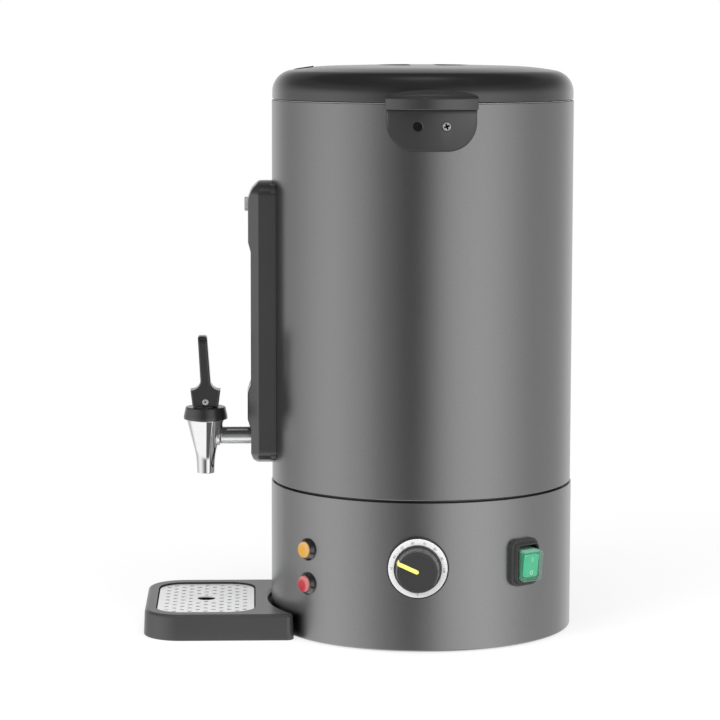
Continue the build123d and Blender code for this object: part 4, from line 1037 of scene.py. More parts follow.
# Name, colour, kind, lowest and highest roughness, and what differs from the kind
finish_rows = (
    ("drum_steel", "drum_steel", METAL, 0.26, 0.34, SPECKLED),
    ("base_steel", "base_steel", METAL, 0.26, 0.34, SPECKLED),
    ("bright_steel", "bright_steel", METAL, 0.24, 0.36, {"metallic": 0.7}),
    ("grid_steel", "grid", METAL, 0.24, 0.36, {"metallic": 0.5}),
    ("zinc_steel", "zinc", METAL, 0.34, 0.5, {"values": {"Fineness": 500.0, "Length": 500.0}}),
    ("brass", "brass", METAL, 0.25, 0.4, {"values": {"Fineness": 700.0, "Length": 700.0}}),
    ("scale_metal", "scale_metal", METAL, 0.34, 0.46,
     {"metallic": 0.1, "spread_share": 0.05, "values": {"Fineness": 900.0}}),
    ("screw_steel", "screw", METAL, 0.24, 0.34, {"metallic": 0.35, "values": {"Length": 900.0}}),
    ("satin_chrome", "chrome", METAL, 0.20, 0.26, SMOOTH_CHROME),
    ("chrome_plate", "chrome", METAL, 0.05, 0.09, SMOOTH_CHROME),
    ("lid_plastic", "lid_plastic", MOULDED, 0.25, 0.31, {"extras": GLOSSY}),
    ("dark_plastic", "dark_plastic", MOULDED, 0.26, 0.34, {"extras": SATIN}),
    ("tray_plastic", "tray", MOULDED, 0.28, 0.36, {"extras": {"Specular IOR Level": 0.9}}),
    ("black_plastic", "black_plastic", MOULDED, 0.24, 0.34, {"extras": SATIN}),
    ("knob_plastic", "knob", MOULDED, 0.24, 0.32, {}),
    ("bezel_plastic", "black_plastic", MOULDED, 0.08, 0.14,
     {"bump_share": 0.04, "extras": GLOSSY | {"Coat Weight": 1.0}}),
    # Black of the painted shade in the vent, the screws' crosses and the dark counterbore
    ("shade_black", "shade", MOULDED, 0.5, 0.65, {"extras": {"Specular IOR Level": 0.2}}),
    ("grey_plastic", "grey_plastic", MOULDED, 0.4, 0.5, {}),
    ("pointer_yellow", "pointer", MOULDED, 0.3, 0.4, {"spread_share": 0.05}),
    ("rubber", "rubber", MOULDED, 0.6, 0.75, {"bump_share": 0.3}),
    ("silicone", "silicone", MOULDED, 0.45, 0.6, {}),
    ("scale_ink", "ink", MOULDED, 0.5, 0.6, {}),
    ("white_ink", "white_ink", MOULDED, 0.4, 0.5, {}),
    ("amber_plastic", "amber", MOULDED, 0.16, 0.24, {"bump_share": 0.03, "extras": CLEAR}),
    ("red_plastic", "red", MOULDED, 0.16, 0.24, {"bump_share": 0.03, "extras": CLEAR}),
    ("green_plastic", "boot", MOULDED, 0.12, 0.2,
     {"bump_share": 0.03, "extras": {"Coat Weight": 0.5, "Coat Roughness": 0.1}}),
    # The key glows: painted light under the boot
    ("key_plastic", "key", MOULDED, 0.25, 0.35, {"extras": {"Emission Strength": KEY_PAINTED_GLOW}}),
    ("core_plastic", "core", MOULDED, 0.25, 0.35, {}),
    ("sight_tube", "glass", MOULDED, 0.02, 0.05,
     {"spread_share": 0.02, "bump_share": 0.01, "extras": GLASS}),
)


def finish(name, colour, low_rough, high_rough, group, metallic, spread_share, bump_share, values, extras):
    """Material whose tone, roughness and relief follow a shader group."""
    made = bpy.data.materials.new(name + "_finish")
    finishes[name] = made
    made.use_nodes = True
    tree = made.node_tree
    vector = {"Vector": node(tree, "ShaderNodeTexCoord")["Object"]}
    effect = node(tree, "ShaderNodeGroup", vector | values, node_tree=bpy.data.node_groups[group])
    tone_shares = (1 - spread_share, 1 + spread_share)
    ends = [(*[min(part * tone_share, 1.0) for part in colour], 1.0) for tone_share in tone_shares]
    limits = {"Value": effect["Tone"], "To Min": low_rough, "To Max": high_rough}
    relief = {"Strength": bump_share, "Distance": HAIR, "Height": effect["Height"]}
    entries = {
        "Metallic": metallic,
        "Base Color": blend(tree, effect["Tone"], *ends, "RGBA"),
        "Roughness": node(tree, "ShaderNodeMapRange", limits)["Result"],
        "Normal": node(tree, "ShaderNodeBump", relief)["Normal"],
    }
    connect(tree, tree.nodes["Principled BSDF"], entries | extras)


def paint_shade(made):
    """Paints shade on a plastic: black, rough and without coat where its mesh is marked as lying in shade.
    """
    tree = made.node_tree
    shader = tree.nodes["Principled BSDF"]
    mask = node(tree, "ShaderNodeAttribute", attribute_name="shade")["Fac"]
    for entry, value in SHADE_PAINT.items():
        target = shader.inputs[entry]
        before = target.links[0].from_socket if target.links else target.default_value
        kind = "RGBA" if target.type == "RGBA" else "FLOAT"
        connect(tree, shader, {entry: blend(tree, mask, before, value, kind)})


def clearer(made, middle_share, rim_share):
    """Lets a thin moulding be clear where it faces the eye and fuller at its edges."""
    tree = made.node_tree
    facing = node(tree, "ShaderNodeLayerWeight")["Facing"]
    limits = {"From Min": FACING_START, "To Min": middle_share, "To Max": rim_share}
    connect(tree, tree.nodes["Principled BSDF"], {"Alpha": smooth(tree, facing, limits)})


def painted_rim_light(made, colour):
    """Paints light on a lens: paler towards its rim and its upper side, by the mesh's own reach, as a
    painted highlight.
    """
    tree = made.node_tree
    shader = tree.nodes["Principled BSDF"]
    core = shader.inputs["Base Color"].links[0].from_socket
    reach = node(tree, "ShaderNodeAttribute", attribute_name="reach")["Fac"]
    outer = smooth(tree, reach, {"From Min": RIM_LIGHT_START})
    connect(tree, shader, {"Base Color": blend(tree, outer, core, (*colour, 1), "RGBA")})


class DISPENSER_OT_finishes(Operator):
    """Make the procedural materials of every finish"""

    bl_idname = "dispenser.finishes"
    bl_label = "Finishes"

    def execute(self, context):
        colours = context.scene.dispenser.finish
        brushing_group()
        grain_group()
        for name, colour, kind, low_rough, high_rough, changes in finish_rows:
            finish(name, getattr(colours, colour), low_rough, high_rough, **kind | changes)
        # Painted shade in the lid's pockets, under the handles' lips and in the tray's recess
        for name in ("lid_plastic", "dark_plastic", "tray_plastic"):
            paint_shade(finishes[name])
        # Painted highlight on the lenses' rims and upper sides
        painted_rim_light(finishes["amber_plastic"], colours.amber_rim_light)
        painted_rim_light(finishes["red_plastic"], colours.red_rim_light)
        clearer(finishes["green_plastic"], *BOOT_SHARES)
        # Painted light: the key glows in its own green
        tree = finishes["key_plastic"].node_tree
        connect(tree, tree.nodes["Principled BSDF"], {"Emission Color": (*colours.key, 1.0)})
        return {"FINISHED"}


class DISPENSER_OT_carried(Operator):
    """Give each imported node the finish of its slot"""

    bl_idname = "dispenser.carried"
    bl_label = "Carried-over nodes"

    def execute(self, context):
        for row in frame["record"]["subparts"]:
            data = frame["nodes"][row["node"]].data
            data.materials.clear()
            data.materials.append(finishes[row["material_slot"]])
        return {"FINISHED"}


# Drum, base and tank
def drum_mesh(sizes):
    """Drum's sheet with a rolled upper edge and a flange at its foot."""
    radius, wall, edge = sizes.drum_radius, sizes.drum_wall, sizes.drum_edge
    inner, flange = radius - wall, radius - sizes.drum_turn_in
    foot, top = sizes.drum_low, sizes.drum_high
    corners = [(flange, foot, edge), (radius, foot, 2 * edge), (radius, top, edge)]
    corners += [(inner, top, edge), (inner, foot + wall, edge), (flange, foot + wall, edge)]
    return lathe(corners, closed=True, steps=TURN_STEPS)


def tank_mesh(sizes):
    """Inner tank with a rounded floor and a flat rim."""
    radius, wall, corner = sizes.tank_radius, sizes.tank_wall, sizes.tank_corner
    bore, floor = radius - wall, sizes.tank_low + wall
    rim, rim_high = sizes.rim_radius, sizes.rim_high
    under_rim = rim_high - sizes.rim_thickness
    edge = sizes.rim_thickness / 3
    corners = [(0, sizes.tank_low, 0), (radius, sizes.tank_low, corner), (radius, under_rim, edge)]
    corners += [(rim, under_rim, edge), (rim, rim_high, edge), (bore, rim_high, sizes.rim_thickness)]
    corners += [(bore, floor, corner - wall), (0, floor, 0)]
    return lathe(corners, steps=TURN_STEPS)


def base_profile(sizes):
    """Profile of the base's wall, deck and lip, with the tray slots' levels; returns where those start."""
    radius, foot, top = sizes.base_radius, sizes.base_low, sizes.base_high
    bore, ledge = radius - sizes.base_wall, radius - sizes.deck_ledge
    lip, lip_high, edge = radius - sizes.base_lip_width, top + sizes.base_lip, sizes.base_lip_edge
    corners = [(bore, foot, 0), (radius, foot, sizes.base_edge), (radius, lip_high, edge)]
    corners += [(lip, lip_high, edge), (lip, top, 0), (ledge, top, 0)]
    outer = rounded(corners, closed=False)
    side = sum(point.y < sizes.slot_low for point in outer)
    levels = (sizes.slot_low, sizes.slot_high)
    outer[side:side] = [Vector((radius, level)) for level in levels]
    deck = top - sizes.base_wall
    inner = [Vector((ledge, deck)), Vector((bore, deck))]
    return outer + inner + [Vector((bore, level)) for level in reversed(levels)], side


def base_mesh(sizes):
    """Base turned from its profile, with two slots for the tray's lugs."""
    profile, outer_index = base_profile(sizes)
    inner_index = len(profile) - 2
    half = sizes.slot_width / 2
    turns = set(circle_turns())
    windows = []
    for middle in (sizes.slot_spread, -sizes.slot_spread):
        sides = sorted(pi - atan2(middle + shift, sizes.base_radius) for shift in (half, -half))
        windows.append(sides)
        turns = {turn for turn in turns if not sides[0] < turn < sides[1]} | set(sides)
    turns = sorted(turns)
    mesh = bmesh.new()
    grid = add_rows(mesh, [[circled(r, turn, z) for r, z in profile] for turn in turns], wrap=True)
    for first, last in windows:
        near, far = grid[turns.index(first)], grid[turns.index(last)]
        rings = []
        for index in (outer_index, inner_index):
            ring = [near[index], near[index + 1], far[index + 1], far[index]]
            face = [face for face in near[index].link_faces if set(face.verts) == set(ring)]
            bmesh.ops.delete(mesh, geom=face, context="FACES_ONLY")
            rings.append(ring)
        outside, (low_near, high_near, high_far, low_far) = rings
        inside = [high_near, low_near, low_far, high_far]
        for step in range(len(outside)):
            mesh.faces.new((outside[step - 1], outside[step], inside[step], inside[step - 1]))
    return mesh


class DISPENSER_OT_body(Operator):
    """Make the drum, the control base and the inner tank"""

    bl_idname = "dispenser.body"
    bl_label = "Drum, base and tank"

    def execute(self, context):
        sizes = context.scene.dispenser.body
        add("steel_drum", drum_mesh(sizes), "drum_steel", "stand", "drum_steel", "body_shell")
        add("control_base", base_mesh(sizes), "base_steel", "stand", "base_steel", "base_shell")
        add("inner_tank_shell", tank_mesh(sizes), "bright_steel", "stand", "bright_steel", "inner_tank")
        return {"FINISHED"}


def foot_mesh(sizes):
    """Rubber foot with a hollow in its sole."""
    edge = sizes.foot_flare / 2
    dish, depth, radius, top = sizes.foot_dish, sizes.foot_dish_depth, sizes.foot_radius, sizes.foot_height
    corners = [(0, depth, 0), (dish, depth, edge), (dish, 0, edge), (radius, 0, edge)]
    return lathe(corners + [(radius + sizes.foot_flare, top, edge), (0, top, 0)])


def gland_mesh(sizes):
    """Cord gland: a flange and a ribbed nose round a bore."""
    edge = sizes.foot_flare / 2
    stand = sizes.base_radius + sizes.gland_flange
    end = sizes.base_radius + sizes.gland_stand
    root = sizes.base_radius - sizes.gland_stand
    bore, radius, flange = sizes.gland_bore, sizes.gland_radius, sizes.gland_flange_radius
    nose = [(bore, root, 0), (flange, root, 0), (flange, stand, edge), (radius, stand, edge)]
    step = (end - stand) / (2 * sizes.gland_ribs)
    for rib in range(sizes.gland_ribs):
        foot = stand + 2 * rib * step
        nose.append((radius, foot + step, edge / 2))
        nose += [(radius - edge, foot + step * groove_share, 0) for groove_share in sizes.groove_shares]
        nose.append((radius, foot + 2 * step, edge / 2))
    nose += [(bore + edge, end + HAIR, edge / 2), (bore, end - edge, 0)]
    return lathe(nose, panel(sizes.gland_azimuth, sizes.gland_height), closed=True)


class DISPENSER_OT_feet(Operator):
    """Make the rubber feet and the cord gland"""

    bl_idname = "dispenser.feet"
    bl_label = "Feet and gland"

    def execute(self, context):
        sizes = context.scene.dispenser.body
        turns = [pi / 4 + quarter * pi / 2 for quarter in range(4)]
        places = [Matrix.Translation(circled(sizes.foot_circle, turn, 0)) for turn in turns]
        feet = set_out("feet", foot_mesh(sizes), places + [ORIGIN], "rubber")
        seated(feet, "stand", "rubber", "rubber_feet")
        add("cord_gland", gland_mesh(sizes), "black_plastic", "stand", "black_plastic", "cable_gland")
        return {"FINISHED"}


# Lid
def dome_arcs(sizes, inward):
    """Profile of the lid's shoulder and haunch, set in by a wall, with its crown's centre and radius."""
    shoulder = Vector((sizes.radius - sizes.shoulder_radius, sizes.bottom + sizes.side))
    turn = sizes.shoulder_sweep
    crown_turn = turn + sizes.haunch_sweep
    spread = sizes.haunch_radius - sizes.shoulder_radius
    haunch = shoulder - spread * Vector((cos(turn), sin(turn)))
    crown_radius = sizes.haunch_radius + haunch.x / cos(crown_turn)
    points = arc(shoulder, sizes.shoulder_radius - inward, 0, turn)
    points += arc(haunch, sizes.haunch_radius - inward, turn, crown_turn)[1:]
    return points, haunch.y - haunch.x * tan(crown_turn), crown_radius - inward


def dome_height(centre, radius, point):
    """Height of the lid's crown over a point."""
    return centre + sqrt(radius**2 - point.x**2 - point.y**2)


def moon(sizes, side, grow):
    """Half-moon finger pocket on one side of the grip bar, grown or shrunk."""
    radius = sizes.pocket_radius + grow
    corner = sizes.pocket_corner + grow
    x = sizes.pocket_bar / 2 - grow + corner
    y = sqrt((radius - corner) ** 2 - x**2)
    tip = atan2(y, x)
    outline = arc((0, 0), radius, -tip, tip)
    outline += arc((x, y), corner, tip, pi)[1:]
    outline += arc((x, -y), corner, pi, 2 * pi - tip)[:-1]
    return [point * side for point in outline]


def lid_profile(sizes, outer, inner, crown, under):
    """Profile of the lid from the finger pockets' field out to its rim and back under its skirt."""
    field = Vector((sizes.field_radius, 0))
    radius, wall, bottom = sizes.radius, sizes.wall, sizes.bottom
    side_top = bottom + sizes.side
    corners = [(radius, side_top, 0), (radius, bottom, sizes.rim_round)]
    corners += [(radius - wall, bottom, sizes.rim_round), (radius - wall, side_top, 0)]
    rim = rounded(corners, closed=False)[1:-1]
    skirt, skirt_low = sizes.skirt_radius, sizes.skirt_low
    skirt_inner = skirt - sizes.skirt_wall
    roof = max(point.y for point in inner if point.x > skirt_inner)
    top = [Vector((field.x, dome_height(*crown, field)))] + outer[::-1]
    shoulder = [point for point in inner if point.x > skirt + wall]
    ring = ((skirt, roof), (skirt, skirt_low), (skirt_inner, skirt_low), (skirt_inner, roof))
    below = [point for point in inner if point.x < skirt_inner - wall]
    last = Vector((field.x, dome_height(*under, field)))
    return top + rim + shoulder + [Vector(point) for point in ring] + below + [last]


def lid_mesh(sizes):
    """Lid in one closed skin: dome, side, skirt and two finger pockets."""
    outer, *crown = dome_arcs(sizes, 0)
    inner, *under = dome_arcs(sizes, sizes.wall)
    profile = lid_profile(sizes, outer, inner, crown, under)
    mesh = bmesh.new()
    grid = add_rows(mesh, [[circled(r, turn, z) for turn in circle_turns()] for r, z in profile])
    floor = sum(crown) - sizes.pocket_depth
    mouths, tubs = [], []
    for side in (1, -1):
        pocket = []
        for inward, drop in reversed(edge_steps(sizes.pocket_lip)):
            outline = moon(sizes, side, inward)
            pocket.append([Vector((*point, dome_height(*crown, point) - drop)) for point in outline])
        for inward, drop in edge_steps(sizes.pocket_floor):
            pocket.append(raised(moon(sizes, side, -inward), floor + drop))
        outline = moon(sizes, side, sizes.wall)
        tub = [[Vector((*point, dome_height(*under, point))) for point in outline]]
        tub.append(raised(outline, floor - sizes.wall))
        for rows, mouth in ((pocket, mouths), (tub, tubs)):
            rings = add_rows(mesh, rows)
            mouth.append(rings[0])
            mesh.faces.new(rings[-1])
    fill(mesh, grid[0], *mouths)
    fill(mesh, grid[-1], *tubs)
    return mesh


class DISPENSER_OT_lid(Operator):
    """Make the domed lid with its finger pockets and steam vent"""

    bl_idname = "dispenser.lid"
    bl_label = "Lid"

    def execute(self, context):
        sizes = context.scene.dispenser.lid
        made = piece("domed_lid", lid_mesh(sizes), "lid_plastic")
        points, *crown = dome_arcs(sizes, 0)
        self.vent(sizes, made, max(point.y for point in points if point.x >= sizes.vent_reach))

        def shade(point):
            """Painted shade inside the finger pockets, darker the deeper a point lies below the crown."""
            return (dome_height(*crown, point) - point.z) / sizes.pocket_lip - 1

        marked(made, shade, sizes.field_radius)
        seated(made, "lid_body", "lid_plastic", "lid", "lid_grip")
        return {"FINISHED"}

    def vent(self, sizes, lid, height):
        """Steam vent: a sunk disc with slots, in a low ring whose black is painted shade."""
        place = shifted(-sizes.vent_reach, 0, height) @ spun(-sizes.haunch_sweep, "Y")
        radius, sink, rise = sizes.vent_radius, sizes.vent_sink, sizes.vent_rise
        edge, inner = sink / 3, radius - sink
        cut(lid, lathe([(0, -sink, 0), (radius, -sink, edge), (radius, OVERRUN, 0), (0, OVERRUN, 0)], place))
        corners = [(inner, -sink, 0), (radius, -sink, 0), (radius, rise, edge), (inner, rise, edge)]
        # The ring is black: painted shade round the sunk disc
        add("vent_ring", lathe(corners, place, closed=True), "shade_black", "lid_body", "lid_plastic")
        slot = stadium(sizes.vent_slot_length, sizes.vent_slot_width)
        for index in range(sizes.vent_slots):
            across = (index - (sizes.vent_slots - 1) / 2) * sizes.vent_slot_pitch
            cut(lid, prism(slot, -2 * sizes.wall, OVERRUN, place @ shifted(0, across, 0)))


# Handles
def lip_mesh(sizes, drum_radius, rim):
    """Lip of the handle on the -Y side, from sections along its width."""
    seat_radius = drum_radius + HAIR
    front = drum_radius + sizes.reach
    rise = front - sqrt((drum_radius + sizes.end_reach) ** 2 - sizes.half_width**2)
    radius = (rise**2 + sizes.half_width**2) / (2 * rise)
    top = rim + sizes.front_rise
    bottom, roof, edge = top - sizes.front_height, top - sizes.wall, sizes.edge
    rows = []
    for x in stations(sizes.half_width * END_SHARE):
        seat = sqrt(seat_radius**2 - x**2)
        over = max(abs(x) - sizes.half_width + sizes.end_round, 0) / sizes.end_round
        nose = seat + (front - radius + sqrt(radius**2 - x**2) - seat) * sqrt(1 - over**2)
        dish = nose - sizes.dish_share * (nose - seat)
        crest = top + sizes.crown_rise * sqrt(1 - (x / sizes.half_width) ** 2)
        inner = max(nose - sizes.wall, seat + 2 * HAIR)
        corners = [(seat, crest, edge / 4), (dish, top + sizes.dish_rise, 4 * edge), (nose, top, edge)]
        corners += [(nose, bottom, edge / 2), (inner, bottom, edge / 2), (inner, roof, edge / 2)]
        section = rounded(corners + [(seat, roof, edge / 4)])
        rows.append([Vector((x, -out, height)) for out, height in section])
    return skinned(rows)


def shield_foot(sizes, rim, x):
    """Height of the shield's lower border at a distance from its middle."""
    over = max(abs(x) - sizes.half_width + sizes.shield_inset + sizes.shield_corner, 0)
    drop = sizes.shield_corner - sqrt(max(sizes.shield_corner**2 - over**2, 0))
    return rim - sizes.shield_drop + drop


def shield_mesh(sizes, drum_radius, rim):
    """Shield of the handle on the -Y side: a plate bent round the drum."""
    seat_radius = drum_radius + HAIR
    half = sizes.half_width - sizes.shield_inset
    top = rim + sizes.front_rise - sizes.wall / 2
    line = rim + sizes.front_rise - sizes.front_height
    edge = sizes.shield_edge
    rows = []
    for x in stations(half):
        seat = sqrt(seat_radius**2 - x**2)
        foot = shield_foot(sizes, rim, x)
        fade = max(abs(x) - half + edge, 0)
        face = sqrt((seat_radius + sizes.shield_thickness) ** 2 - x**2) - edge + sqrt(edge**2 - fade**2)
        # The rows just below the lip's line carry the painted shade under it
        corners = [(seat, foot, HAIR), (face, foot, edge), (face, line - sizes.lip_shade, 0)]
        corners += [(face, line - HAIR, 0), (face, top, HAIR), (seat, top, HAIR)]
        rows.append([Vector((x, -depth, height)) for depth, height in rounded(corners)])
    return skinned(rows)


def bore_mesh(sizes, drum_radius, place):
    """Cutter of a screw's counterbore, flared at its mouth."""
    seat = drum_radius + sizes.web
    mouth = drum_radius + sizes.shield_thickness - sizes.bore_flare
    radius, end = sizes.bore_radius, mouth + OVERRUN
    flare = radius + 2 * sizes.bore_flare
    corners = [(0, seat, 0), (radius, seat, 0), (radius, mouth, 0), (flare, mouth + 2 * sizes.bore_flare, 0)]
    return lathe(corners + [(flare, end, 0), (0, end, 0)], place)


def cross_outline(sizes):
    """Bar of a screw's cross recess."""
    return box_outline(sizes.cross_length, sizes.cross_width, sizes.cross_width / 3)


def screw_mesh(sizes, drum_radius):
    """Head of a handle screw with its cross recess, standing on the panel's Z axis."""
    seat, radius = drum_radius + sizes.web, sizes.head_radius
    top = seat + sizes.head_height
    corners = [(0, seat, 0), (radius, seat, 0), (radius, top, sizes.head_round), (0, top, 0)]
    head = piece("head", lathe(corners))
    for turn in CROSS_TURNS:
        cut(head, prism(cross_outline(sizes), top - sizes.cross_depth, top + OVERRUN, spun(turn)))
    return lifted(head)


def recess_shade_mesh(sizes, drum_radius):
    """Black floor in a screw's cross recess: painted shade."""
    floor = drum_radius + sizes.web + sizes.head_height - sizes.cross_depth
    bar = inset(cross_outline(sizes), HAIR)
    return joined(*[prism(bar, floor, floor + sizes.cross_depth / 2, spun(turn)) for turn in CROSS_TURNS])


def bore_shade_mesh(sizes, drum_radius, place):
    """Black disc in the counterbore whose screw is not seen: painted shade."""
    seat, radius = drum_radius + sizes.web, sizes.head_radius
    corners = [(0, seat, 0), (radius, seat, 0), (radius, seat + sizes.head_height / 2, sizes.head_round / 2)]
    return lathe(corners + [(0, seat + sizes.head_height / 3, 0)], place)


# Name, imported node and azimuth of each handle
handle_rows = (("near_handle", "front_handle", 0), ("far_handle", "rear_handle", pi))


class DISPENSER_OT_handles(Operator):
    """Make both carry handles and their screws"""

    bl_idname = "dispenser.handles"
    bl_label = "Handles"

    def execute(self, context):
        sizes = context.scene.dispenser.handle
        body = context.scene.dispenser.body
        radius, rim = body.drum_radius, body.rim_high
        places = []
        for name, node_name, azimuth in handle_rows:
            turn = spun(azimuth)
            shield = piece("shield", moved(shield_mesh(sizes, radius, rim), turn))
            for side in (-sizes.screw_pitch, sizes.screw_pitch):
                places.append(panel(azimuth, rim - sizes.screw_drop) @ shifted(side, 0, 0))
                cut(shield, bore_mesh(sizes, radius, places[-1]))
            lip = moved(lip_mesh(sizes, radius, rim), turn)
            made = piece(name, joined(lifted(shield), lip), "dark_plastic")
            marked(made, lambda point: self.shade(sizes, rim, point), radius + sizes.reach)
            seated(made, "stand", "dark_plastic", node_name)
        shaded_bore, *screwed = places
        heads = set_out("handle_screw_heads", screw_mesh(sizes, radius), screwed, "screw_steel")
        seated(heads, "stand", "bright_steel", "handle_screws")
        # Painted shade: black crosses in the screws' recesses
        recess_shades = set_out("screw_recesses", recess_shade_mesh(sizes, radius), screwed, "shade_black")
        seated(recess_shades, "stand", "bright_steel")
        # Painted shade: a black disc in the counterbore instead of its screw
        bore_shade = bore_shade_mesh(sizes, radius, shaded_bore)
        add("screw_plug", bore_shade, "shade_black", "stand", "black_plastic", "handle_screws")
        return {"FINISHED"}

    def shade(self, sizes, rim, point):
        """Painted shade under the lip and along the shield's foot."""
        line = rim + sizes.front_rise - sizes.front_height - HAIR / 2
        if point.z > line:
            return 0
        under_lip = 1 - (line - point.z) / sizes.lip_shade
        at_foot = 1 - (point.z - shield_foot(sizes, rim, point.x)) / sizes.foot_shade
        return max(under_lip, at_foot)


# Sight gauge
def gauge_side(sizes):
    """Depth of the housing's front against height, from its top down."""
    face, top, bottom, corner = sizes.face, sizes.top, sizes.bottom, sizes.corner
    pad, foot_pad = face + sizes.top_pad_rise, face + sizes.foot_pad_rise
    pad_top = top - sizes.top_slope
    pad_low = pad_top - sizes.top_pad_height
    foot_low = bottom + sizes.foot_pad_lift
    foot_high = foot_low + sizes.foot_pad_height
    corners = [(sizes.back, top, 0), (sizes.top_slope_depth, top, corner)]
    corners += [(sizes.top_swell_depth, top - sizes.top_swell, 4 * corner), (pad, pad_top, 2 * corner)]
    corners += [(pad, pad_low, corner), (face, pad_low - sizes.top_pad_ramp, corner)]
    corners += [(face, foot_high + sizes.foot_pad_ramp, corner), (foot_pad, foot_high, corner)]
    corners += [(foot_pad, foot_low, corner), (face, foot_low - sizes.foot_pad_ramp, corner)]
    corners += [(face, bottom + sizes.foot_slope, corner)]
    corners += [(sizes.foot_swell_depth, bottom + sizes.foot_swell, corner)]
    corners += [(sizes.foot_slope_depth, bottom, corner / 2), (sizes.back, bottom, 0)]
    outline = rounded(corners, closed=False)[1:-1]
    refined = outline[:1]
    for here, after in zip(outline, outline[1:]):
        parts = max(round((after - here).length / sizes.back_round), 1)
        refined += [here.lerp(after, (part + 1) / parts) for part in range(parts)]
    return refined


def gauge_row(sizes, depth, height, drum_radius):
    """Outline of the housing across one height."""
    edge = sizes.end_edge
    near_end = max(edge - min(sizes.top - height, height - sizes.bottom), 0)
    half = sizes.half_width * sqrt(1 - DOME_SHARE * (near_end / edge) ** 2)
    slope_share = (sizes.half_width - sizes.face_half_width) / (sizes.nose - sizes.crease)
    crease = min(sizes.crease, depth - sizes.corner / 2)
    face_half = half - min(slope_share * max(depth - sizes.crease, HAIR), half * ROOM_SHARE)
    corner = min(sizes.corner, face_half / 3)
    corners = [(half, crease, corner / 2), (face_half, depth, corner)]
    corners += [(-face_half, depth, corner), (-half, crease, corner / 2)]
    for step in range(ROUND_STEPS):
        across = half * (2 * step / (ROUND_STEPS - 1) - 1)
        corners.append((across, sqrt((drum_radius + HAIR) ** 2 - across**2) - drum_radius, 0))
    return [Vector((-drum_radius - out, across, height)) for across, out in rounded(corners)]


def glass_mesh(sizes, drum_radius):
    """Sight glass: a plain tube."""
    foot, top = low("sight_glass", Z), high("sight_glass", Z)
    bore, radius = sizes.glass_bore, sizes.glass_radius
    edge = (radius - bore) / 4
    corners = [(bore, foot, edge), (radius, foot, edge), (radius, top, edge), (bore, top, edge)]
    return lathe(corners, shifted(-drum_radius - sizes.glass_depth, 0, 0), closed=True)


def cap_screw_mesh(sizes, drum_radius):
    """Cap screw on the top pad."""
    seat, radius = drum_radius + sizes.face + sizes.top_pad_rise, sizes.screw_radius
    root, top = seat - sizes.wall, seat + sizes.screw_height
    corners = [(0, root, 0), (radius / 2, root, 0), (radius / 2, seat, 0), (radius, seat, HAIR)]
    corners += [(radius, top, sizes.screw_round), (0, top, 0)]
    return lathe(corners, panel(TAP_SIDE, sizes.top - sizes.screw_drop))


class DISPENSER_OT_gauge(Operator):
    """Make the sight gauge's housing, glass and cap screw"""

    bl_idname = "dispenser.gauge"
    bl_label = "Sight gauge"

    def execute(self, context):
        sizes = context.scene.dispenser.gauge
        radius = context.scene.dispenser.body.drum_radius
        rows = [gauge_row(sizes, depth, height, radius) for depth, height in gauge_side(sizes)]
        made = piece("gauge_case", skinned(rows), "dark_plastic")
        foot = sizes.bottom + sizes.foot_pad_lift + sizes.foot_pad_height + sizes.foot_pad_ramp
        pad_foot = sizes.top - sizes.top_slope - sizes.top_pad_height - sizes.top_pad_ramp
        tall = pad_foot - foot + 2 * sizes.window_margin
        place = panel(TAP_SIDE, (foot + pad_foot) / 2) @ spun(pi / 2)
        front = radius + sizes.face - sizes.wall
        window = stadium(tall, 2 * sizes.window_half_width)
        cut(made, prism(window, front - HAIR, front + OVERRUN, place))
        hollow = box_outline(tall + 2 * sizes.wall, 2 * sizes.hollow_half_width, sizes.wall)
        cut(made, prism(hollow, radius + sizes.wall, front, place))
        seated(made, "stand", "dark_plastic", "gauge_housing")
        add("gauge_glass", glass_mesh(sizes, radius), "sight_tube", "stand", "sight_tube", "sight_glass")
        screw = cap_screw_mesh(sizes, radius)
        add("gauge_screw", screw, "screw_steel", "stand", "chrome_plate", "gauge_cap_screw")
        return {"FINISHED"}


# Tap
def cone_mesh(sizes, axis):
    """Chrome cone with the outlet's bore."""
    outlet, bore, edge = sizes.outlet, sizes.outlet_bore, sizes.outlet_edge
    waist = sizes.shank_height - sizes.waist_drop
    roof = outlet + sizes.outlet_depth
    corners = [(0, roof, 0), (bore, roof, 0), (bore, outlet, edge), (sizes.outlet_radius, outlet, edge)]
    corners += [(sizes.waist_radius, waist, sizes.waist_round)]
    corners += [(sizes.top_radius, sizes.top, sizes.top_edge), (0, sizes.top, 0)]
    return lathe(corners, axis, steps=TURN_STEPS, round_steps=ARC_STEPS)


def shank_mesh(sizes, tap_x):
    """Shank from the gauge to the cone, with a ring where they meet."""
    flange, width, radius = sizes.shank_flange, sizes.shank_flange_width, sizes.shank_radius
    ring = -tap_x - sizes.top_radius + 2 * width
    back = -high("tap_shank", X)
    corners = [(0, ring + width, 0), (flange, ring + width, 0), (flange, ring, width / 3)]
    corners += [(radius, ring - width / 2, width / 4), (radius, back, sizes.outlet_edge), (0, back, 0)]
    return lathe(corners, panel(TAP_SIDE, sizes.shank_height))


def collar_mesh(sizes, axis):
    """Black collar with a skirt below and a hub on top."""
    stem, foot, edge, lift = sizes.stem_radius, sizes.top, sizes.collar_edge, sizes.hub_height / 3
    top = foot + sizes.collar_height
    hub_top = top + sizes.hub_height
    corners = [(stem, foot, 0), (sizes.skirt_radius, foot, edge / 3)]
    corners += [(sizes.skirt_radius, foot + sizes.skirt_height, edge), (sizes.collar_radius, top, edge)]
    corners += [(sizes.hub_radius, top, lift), (sizes.hub_radius, hub_top, lift), (stem, hub_top, 0)]
    return lathe(corners, axis, closed=True, steps=TURN_STEPS)


